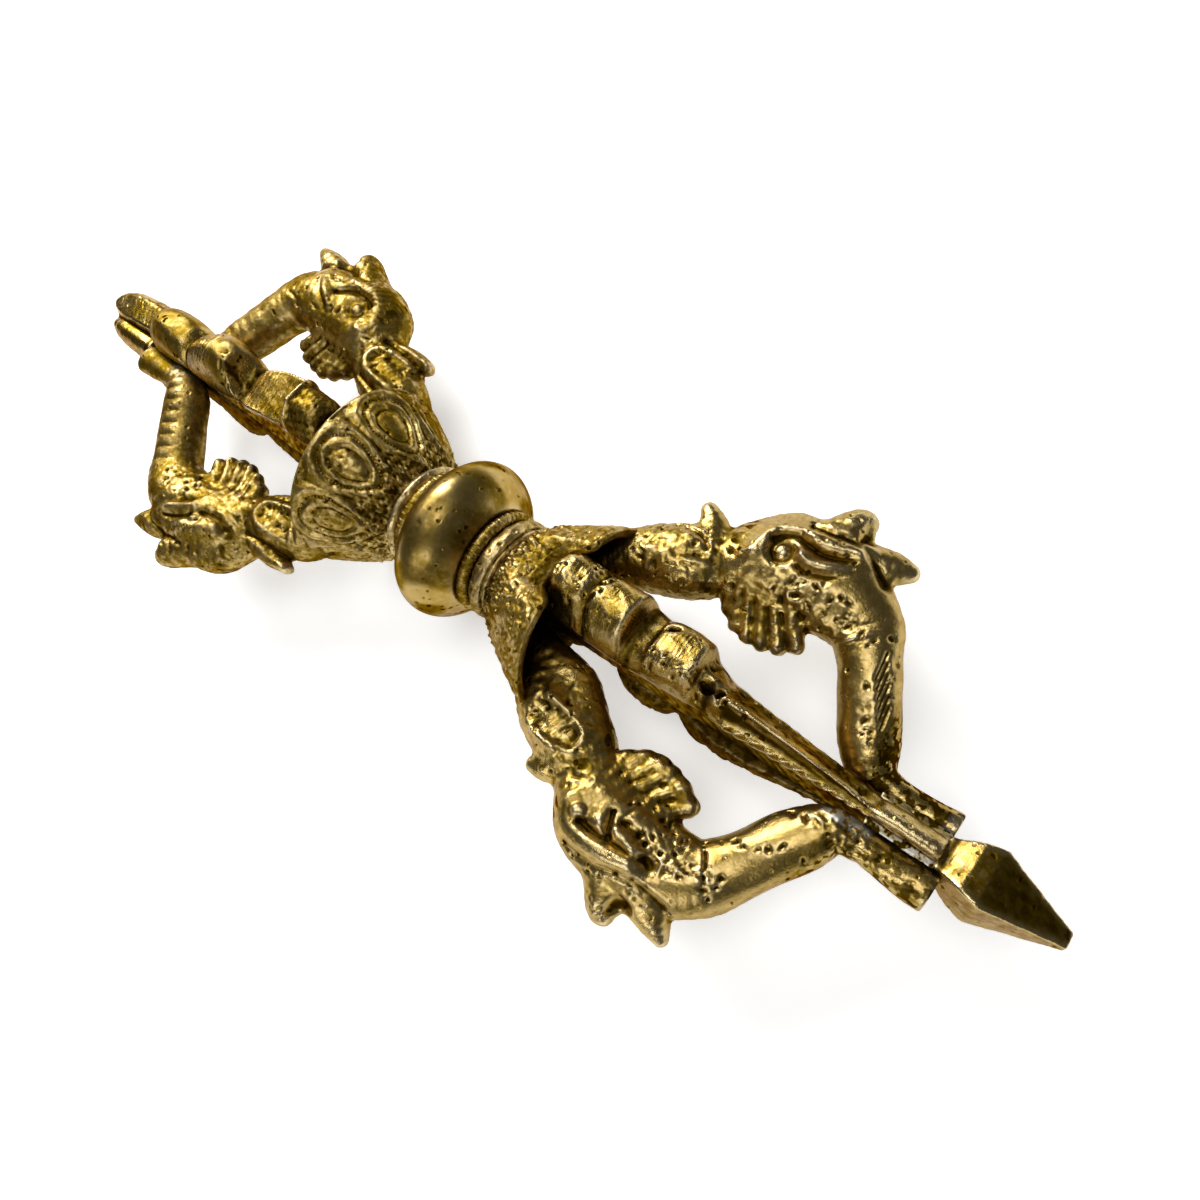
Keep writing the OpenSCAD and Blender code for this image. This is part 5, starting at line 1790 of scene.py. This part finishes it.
class VajraFinish(bpy.types.PropertyGroup):
    """Colours of the metal and power of the lights"""

    brass: FloatVectorProperty(
        name="Brass",
        description="Colour of the bare metal",
        subtype="COLOR",
        size=3,
        default=(0.4, 0.252, 0.022),
        min=0,
        max=1,
    )
    # Colour of rubbed edges, also laid on as painted highlights.
    worn_brass_and_sheen: FloatVectorProperty(
        name="Worn brass and sheen",
        description="Colour of rubbed edges",
        subtype="COLOR",
        size=3,
        default=(0.73, 0.57, 0.29),
        min=0,
        max=1,
    )
    # Colour of the dark patina, also laid on as painted shade.
    patina_and_shade: FloatVectorProperty(
        name="Patina and Shade",
        description="Colour of the dark metal in the hollows",
        subtype="COLOR",
        size=3,
        default=(0.042, 0.023, 0.0006),
        min=0,
        max=1,
    )
    solder: FloatVectorProperty(
        name="Solder",
        description="Colour of the solder at the feet",
        subtype="COLOR",
        size=3,
        default=(0.6, 0.59, 0.53),
        min=0,
        max=1,
    )
    key_power: FloatProperty(
        name="Key light",
        description="Power of the main softbox",
        default=2.0,
        min=0,
        unit="POWER",
    )
    fill_power: FloatProperty(
        name="Fill light",
        description="Power of the overhead fill",
        default=2.3,
        min=0,
        unit="POWER",
    )
    side_power: FloatProperty(
        name="Side light",
        description="Power of the low softbox beside the sceptre",
        default=0.5,
        min=0,
        unit="POWER",
    )


MAKARAS = {
    "front_left": (1, "front", (1, 1, 1), 101),
    "front_right": (-1, "front", (1, -1, 1), 102),
    "rear_left": (1, "rear", (-1, 1, 1), 103),
    "rear_right": (-1, "rear", (-1, -1, 1), 104),
}


class VAJRA_OT_grip_bulb(bpy.types.Operator):
    """Turn the polished bulb in the middle of the grip"""

    bl_idname = "vajra.grip_bulb"
    bl_label = "Grip bulb"

    def execute(self, context):
        grip_bulb(polished_brass())
        return {"FINISHED"}


class VAJRA_OT_collars(bpy.types.Operator):
    """Turn the collars on both sides of the bulb"""

    bl_idname = "vajra.collars"
    bl_label = "Collars"

    def execute(self, context):
        for end in SEATS:
            collar(end, cast_brass())
        return {"FINISHED"}


class VAJRA_OT_beaded_wires(bpy.types.Operator):
    """Thread the beaded wires between the bulb and its collars"""

    bl_idname = "vajra.beaded_wires"
    bl_label = "Beaded wires"

    def execute(self, context):
        sizes = context.scene.vajra_sizes
        tree = beaded_wire_tree()
        ring = (SPIGOT_R + WIRE_D / 2) * MM
        width = 1.02 * math.pi * ring / sizes.wire_beads
        for end, side in (("front", 1), ("rear", -1)):
            values = {
                "Ring Radius": ring,
                "Bead Size": (1.2 * sizes.wire_bead, width, 1.12 * sizes.wire_bead),
                "Core Radius": 0.97 * sizes.wire_bead,
                "Bead Count": sizes.wire_beads,
                "Place": (side * (SEATS[end] + WIRE_D / 2) * MM, 0.0, 0.0),
                "Seed": 3 + side,
                "Finish": cast_brass(),
            }
            piece = grown(end + "_beaded_wire", tree, values)
            fit_on(piece, end + "_beaded_wire", None)
        return {"FINISHED"}


class VAJRA_OT_lotus_cups(bpy.types.Operator):
    """Turn the cups, carve their petals and set the beads in the rear cup's petal borders"""

    bl_idname = "vajra.lotus_cups"
    bl_label = "Lotus cups"

    def execute(self, context):
        sizes = context.scene.vajra_sizes
        tree = bead_row_tree()
        for end in PETAL_STARTS:
            lotus_cup(end, cast_brass())
        values = {
            "Spacing": sizes.petal_spacing,
            "Bead Radius": sizes.petal_bead,
            "Seed": 42,
            "Finish": cast_brass(),
        }
        beads = grown("rear_petal_beads", tree, values, *petal_lines("rear"))
        fit_on(beads, None, None)
        return {"FINISHED"}


class VAJRA_OT_centre_prongs(bpy.types.Operator):
    """Carve the centre prongs and their spear points"""

    bl_idname = "vajra.centre_prongs"
    bl_label = "Centre prongs"

    def execute(self, context):
        for end in SEATS:
            centre_prong(end, spear_brass(), context.scene.vajra_sizes.carving_step)
        return {"FINISHED"}


class VAJRA_OT_plain_prongs(bpy.types.Operator):
    """Carve the knobbed prongs above and below the centre prongs"""

    bl_idname = "vajra.plain_prongs"
    bl_label = "Plain prongs"

    def execute(self, context):
        for k, name in enumerate(PLAIN_PRONGS):
            plain_prong(name, 60 + 5 * k, filed_brass(), context.scene.vajra_sizes.carving_step)
        return {"FINISHED"}


class VAJRA_OT_makara_prongs(bpy.types.Operator):
    """Sculpt the four makara-headed prongs"""

    bl_idname = "vajra.makara_prongs"
    bl_label = "Makara prongs"

    def execute(self, context):
        step = context.scene.vajra_sizes.carving_step
        for name, (side, end, mirror, seed) in MAKARAS.items():
            metal = rubbed_brass() if end == "front" else cast_brass()
            makara_prong(name, side, end, mirror, seed, metal, step)
        return {"FINISHED"}


class VAJRA_OT_solder(bpy.types.Operator):
    """Run the solder between the feet and the centre prongs"""

    bl_idname = "vajra.solder"
    bl_label = "Solder"

    def execute(self, context):
        for side, end, mirror, seed in MAKARAS.values():
            solder_seam(end, side, np.diag(mirror).astype(float), seed, solder_metal(), SOLDER_STEP)
        return {"FINISHED"}


# Stage


# Camera fitted to the photograph: its place in millimetres and its three axes
EYE = (61.56, -3.09, 101.17)
RIGHT = (0.77392, 0.56436, -0.28731)
DOWN = (0.50433, -0.82364, -0.25937)
FORWARD = (-0.38302, 0.05583, -0.92205)

# Directions of the two slanting softboxes
KEY_AIM = (-0.72, 0.38, 0.58)
SIDE_AIM = (0.2, -0.82, 0.5)

# Half the side of the paper floor, in metres
PAPER = 3.0


def add_camera():
    """Camera that stands where the photograph was taken."""
    data = bpy.data.cameras.new("Photo view")
    data.sensor_width, data.lens = 36.0, 27.0
    data.clip_start, data.clip_end = 0.005, 20.0
    camera = bpy.data.objects.new("Photo view", data)
    rows = [(RIGHT[i], -DOWN[i], -FORWARD[i], EYE[i] * MM) for i in range(3)]
    camera.matrix_world = Matrix([*rows, (0, 0, 0, 1)])
    bpy.context.scene.collection.objects.link(camera)
    bpy.context.scene.camera = camera


def add_softbox(name, aim, distance, width, height, power):
    """Rectangular light at a distance along a direction, facing the middle of the sceptre."""
    data = bpy.data.lights.new(name, "AREA")
    data.shape, data.size, data.size_y = "RECTANGLE", width, height
    data.energy = power
    lamp = bpy.data.objects.new(name, data)
    away = np.array(aim) / np.linalg.norm(aim)
    side = np.cross((0, 0, 1), away)
    side = side / np.linalg.norm(side) if np.linalg.norm(side) > 1e-6 else np.array((1.0, 0, 0))
    up = np.cross(away, side)
    rows = [(side[i], up[i], away[i], away[i] * distance) for i in range(3)]
    lamp.matrix_world = Matrix([*rows, (0, 0, 0, 1)])
    bpy.context.scene.collection.objects.link(lamp)


def paper_material():
    """White paper that reads white to the camera and in the metal, and still takes a shadow."""
    material = bpy.data.materials.new("White paper")
    material.use_nodes = True
    tree = material.node_tree
    tree.nodes.clear()
    matte = node_at(tree, "ShaderNodeBsdfDiffuse")
    matte.inputs["Color"].default_value = (0.95, 0.95, 0.95, 1)
    glow = node_at(tree, "ShaderNodeEmission")
    glow.inputs["Color"].default_value = (1, 1, 1, 1)
    path = node_at(tree, "ShaderNodeLightPath")
    seen = math_node(tree, "MAXIMUM", path.outputs["Is Camera Ray"], path.outputs["Is Glossy Ray"])
    seen = math_node(tree, "MAXIMUM", seen, path.outputs["Is Transmission Ray"])
    both = node_at(tree, "ShaderNodeAddShader")
    out = node_at(tree, "ShaderNodeOutputMaterial")
    link = tree.links.new
    link(math_node(tree, "MULTIPLY", seen, 0.45), glow.inputs["Strength"])
    link(matte.outputs[0], both.inputs[0])
    link(glow.outputs[0], both.inputs[1])
    link(both.outputs[0], out.inputs["Surface"])
    return material


class VAJRA_OT_stage(bpy.types.Operator):
    """Lay the paper floor and set the camera and the lights"""

    bl_idname = "vajra.stage"
    bl_label = "Stage"

    def execute(self, context):
        scene = context.scene
        scene.view_settings.view_transform = "Standard"
        mesh = bpy.data.meshes.new("paper_floor")
        corners = [(-PAPER, -PAPER), (PAPER, -PAPER), (PAPER, PAPER), (-PAPER, PAPER)]
        mesh.from_pydata([(x, y, FLOOR_Z) for x, y in corners], [], [(0, 1, 2, 3)])
        mesh.materials.append(paper_material())
        floor = bpy.data.objects.new("paper_floor", mesh)
        scene.collection.objects.link(floor)
        floor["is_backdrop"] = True
        world = bpy.data.worlds.new("Studio")
        world.use_nodes = True
        world.node_tree.nodes["Background"].inputs["Color"].default_value = (0.09, 0.09, 0.085, 1)
        scene.world = world
        add_camera()
        add_softbox("Key softbox", KEY_AIM, 0.42, 0.3, 0.24, scene.vajra_finish.key_power)
        add_softbox("Overhead fill", (0.0, 0.0, 1.0), 0.8, 0.45, 0.45, scene.vajra_finish.fill_power)
        add_softbox("Side softbox", SIDE_AIM, 0.45, 0.3, 0.16, scene.vajra_finish.side_power)
        return {"FINISHED"}


PIECE_OPERATORS = (
    VAJRA_OT_grip_bulb,
    VAJRA_OT_beaded_wires,
    VAJRA_OT_collars,
    VAJRA_OT_lotus_cups,
    VAJRA_OT_centre_prongs,
    VAJRA_OT_plain_prongs,
    VAJRA_OT_makara_prongs,
    VAJRA_OT_solder,
    VAJRA_OT_stage,
)


class VAJRA_PT_panel(bpy.types.Panel):
    """Sizes, finishes and the pieces in the order in which they are made"""

    bl_idname = "VAJRA_PT_panel"
    bl_label = "Vajra"
    bl_space_type = "VIEW_3D"
    bl_region_type = "UI"
    bl_category = "Vajra"

    def draw(self, context):
        for group in (context.scene.vajra_sizes, context.scene.vajra_finish):
            box = self.layout.box()
            for key in group.bl_rna.properties.keys():
                if key not in {"rna_type", "name"}:
                    box.prop(group, key)
        for operator in PIECE_OPERATORS:
            self.layout.operator(operator.bl_idname)


CLASSES = (VajraSizes, VajraFinish, *PIECE_OPERATORS, VAJRA_PT_panel)


def register():
    for item in CLASSES:
        bpy.utils.register_class(item)
    bpy.types.Scene.vajra_sizes = PointerProperty(type=VajraSizes)
    bpy.types.Scene.vajra_finish = PointerProperty(type=VajraFinish)


def unregister():
    del bpy.types.Scene.vajra_finish
    del bpy.types.Scene.vajra_sizes
    for item in reversed(CLASSES):
        bpy.utils.unregister_class(item)


def main():
    register()
    for operator in PIECE_OPERATORS:
        group, name = operator.bl_idname.split(".")
        getattr(getattr(bpy.ops, group), name)()


if __name__ == "__main__":
    main()
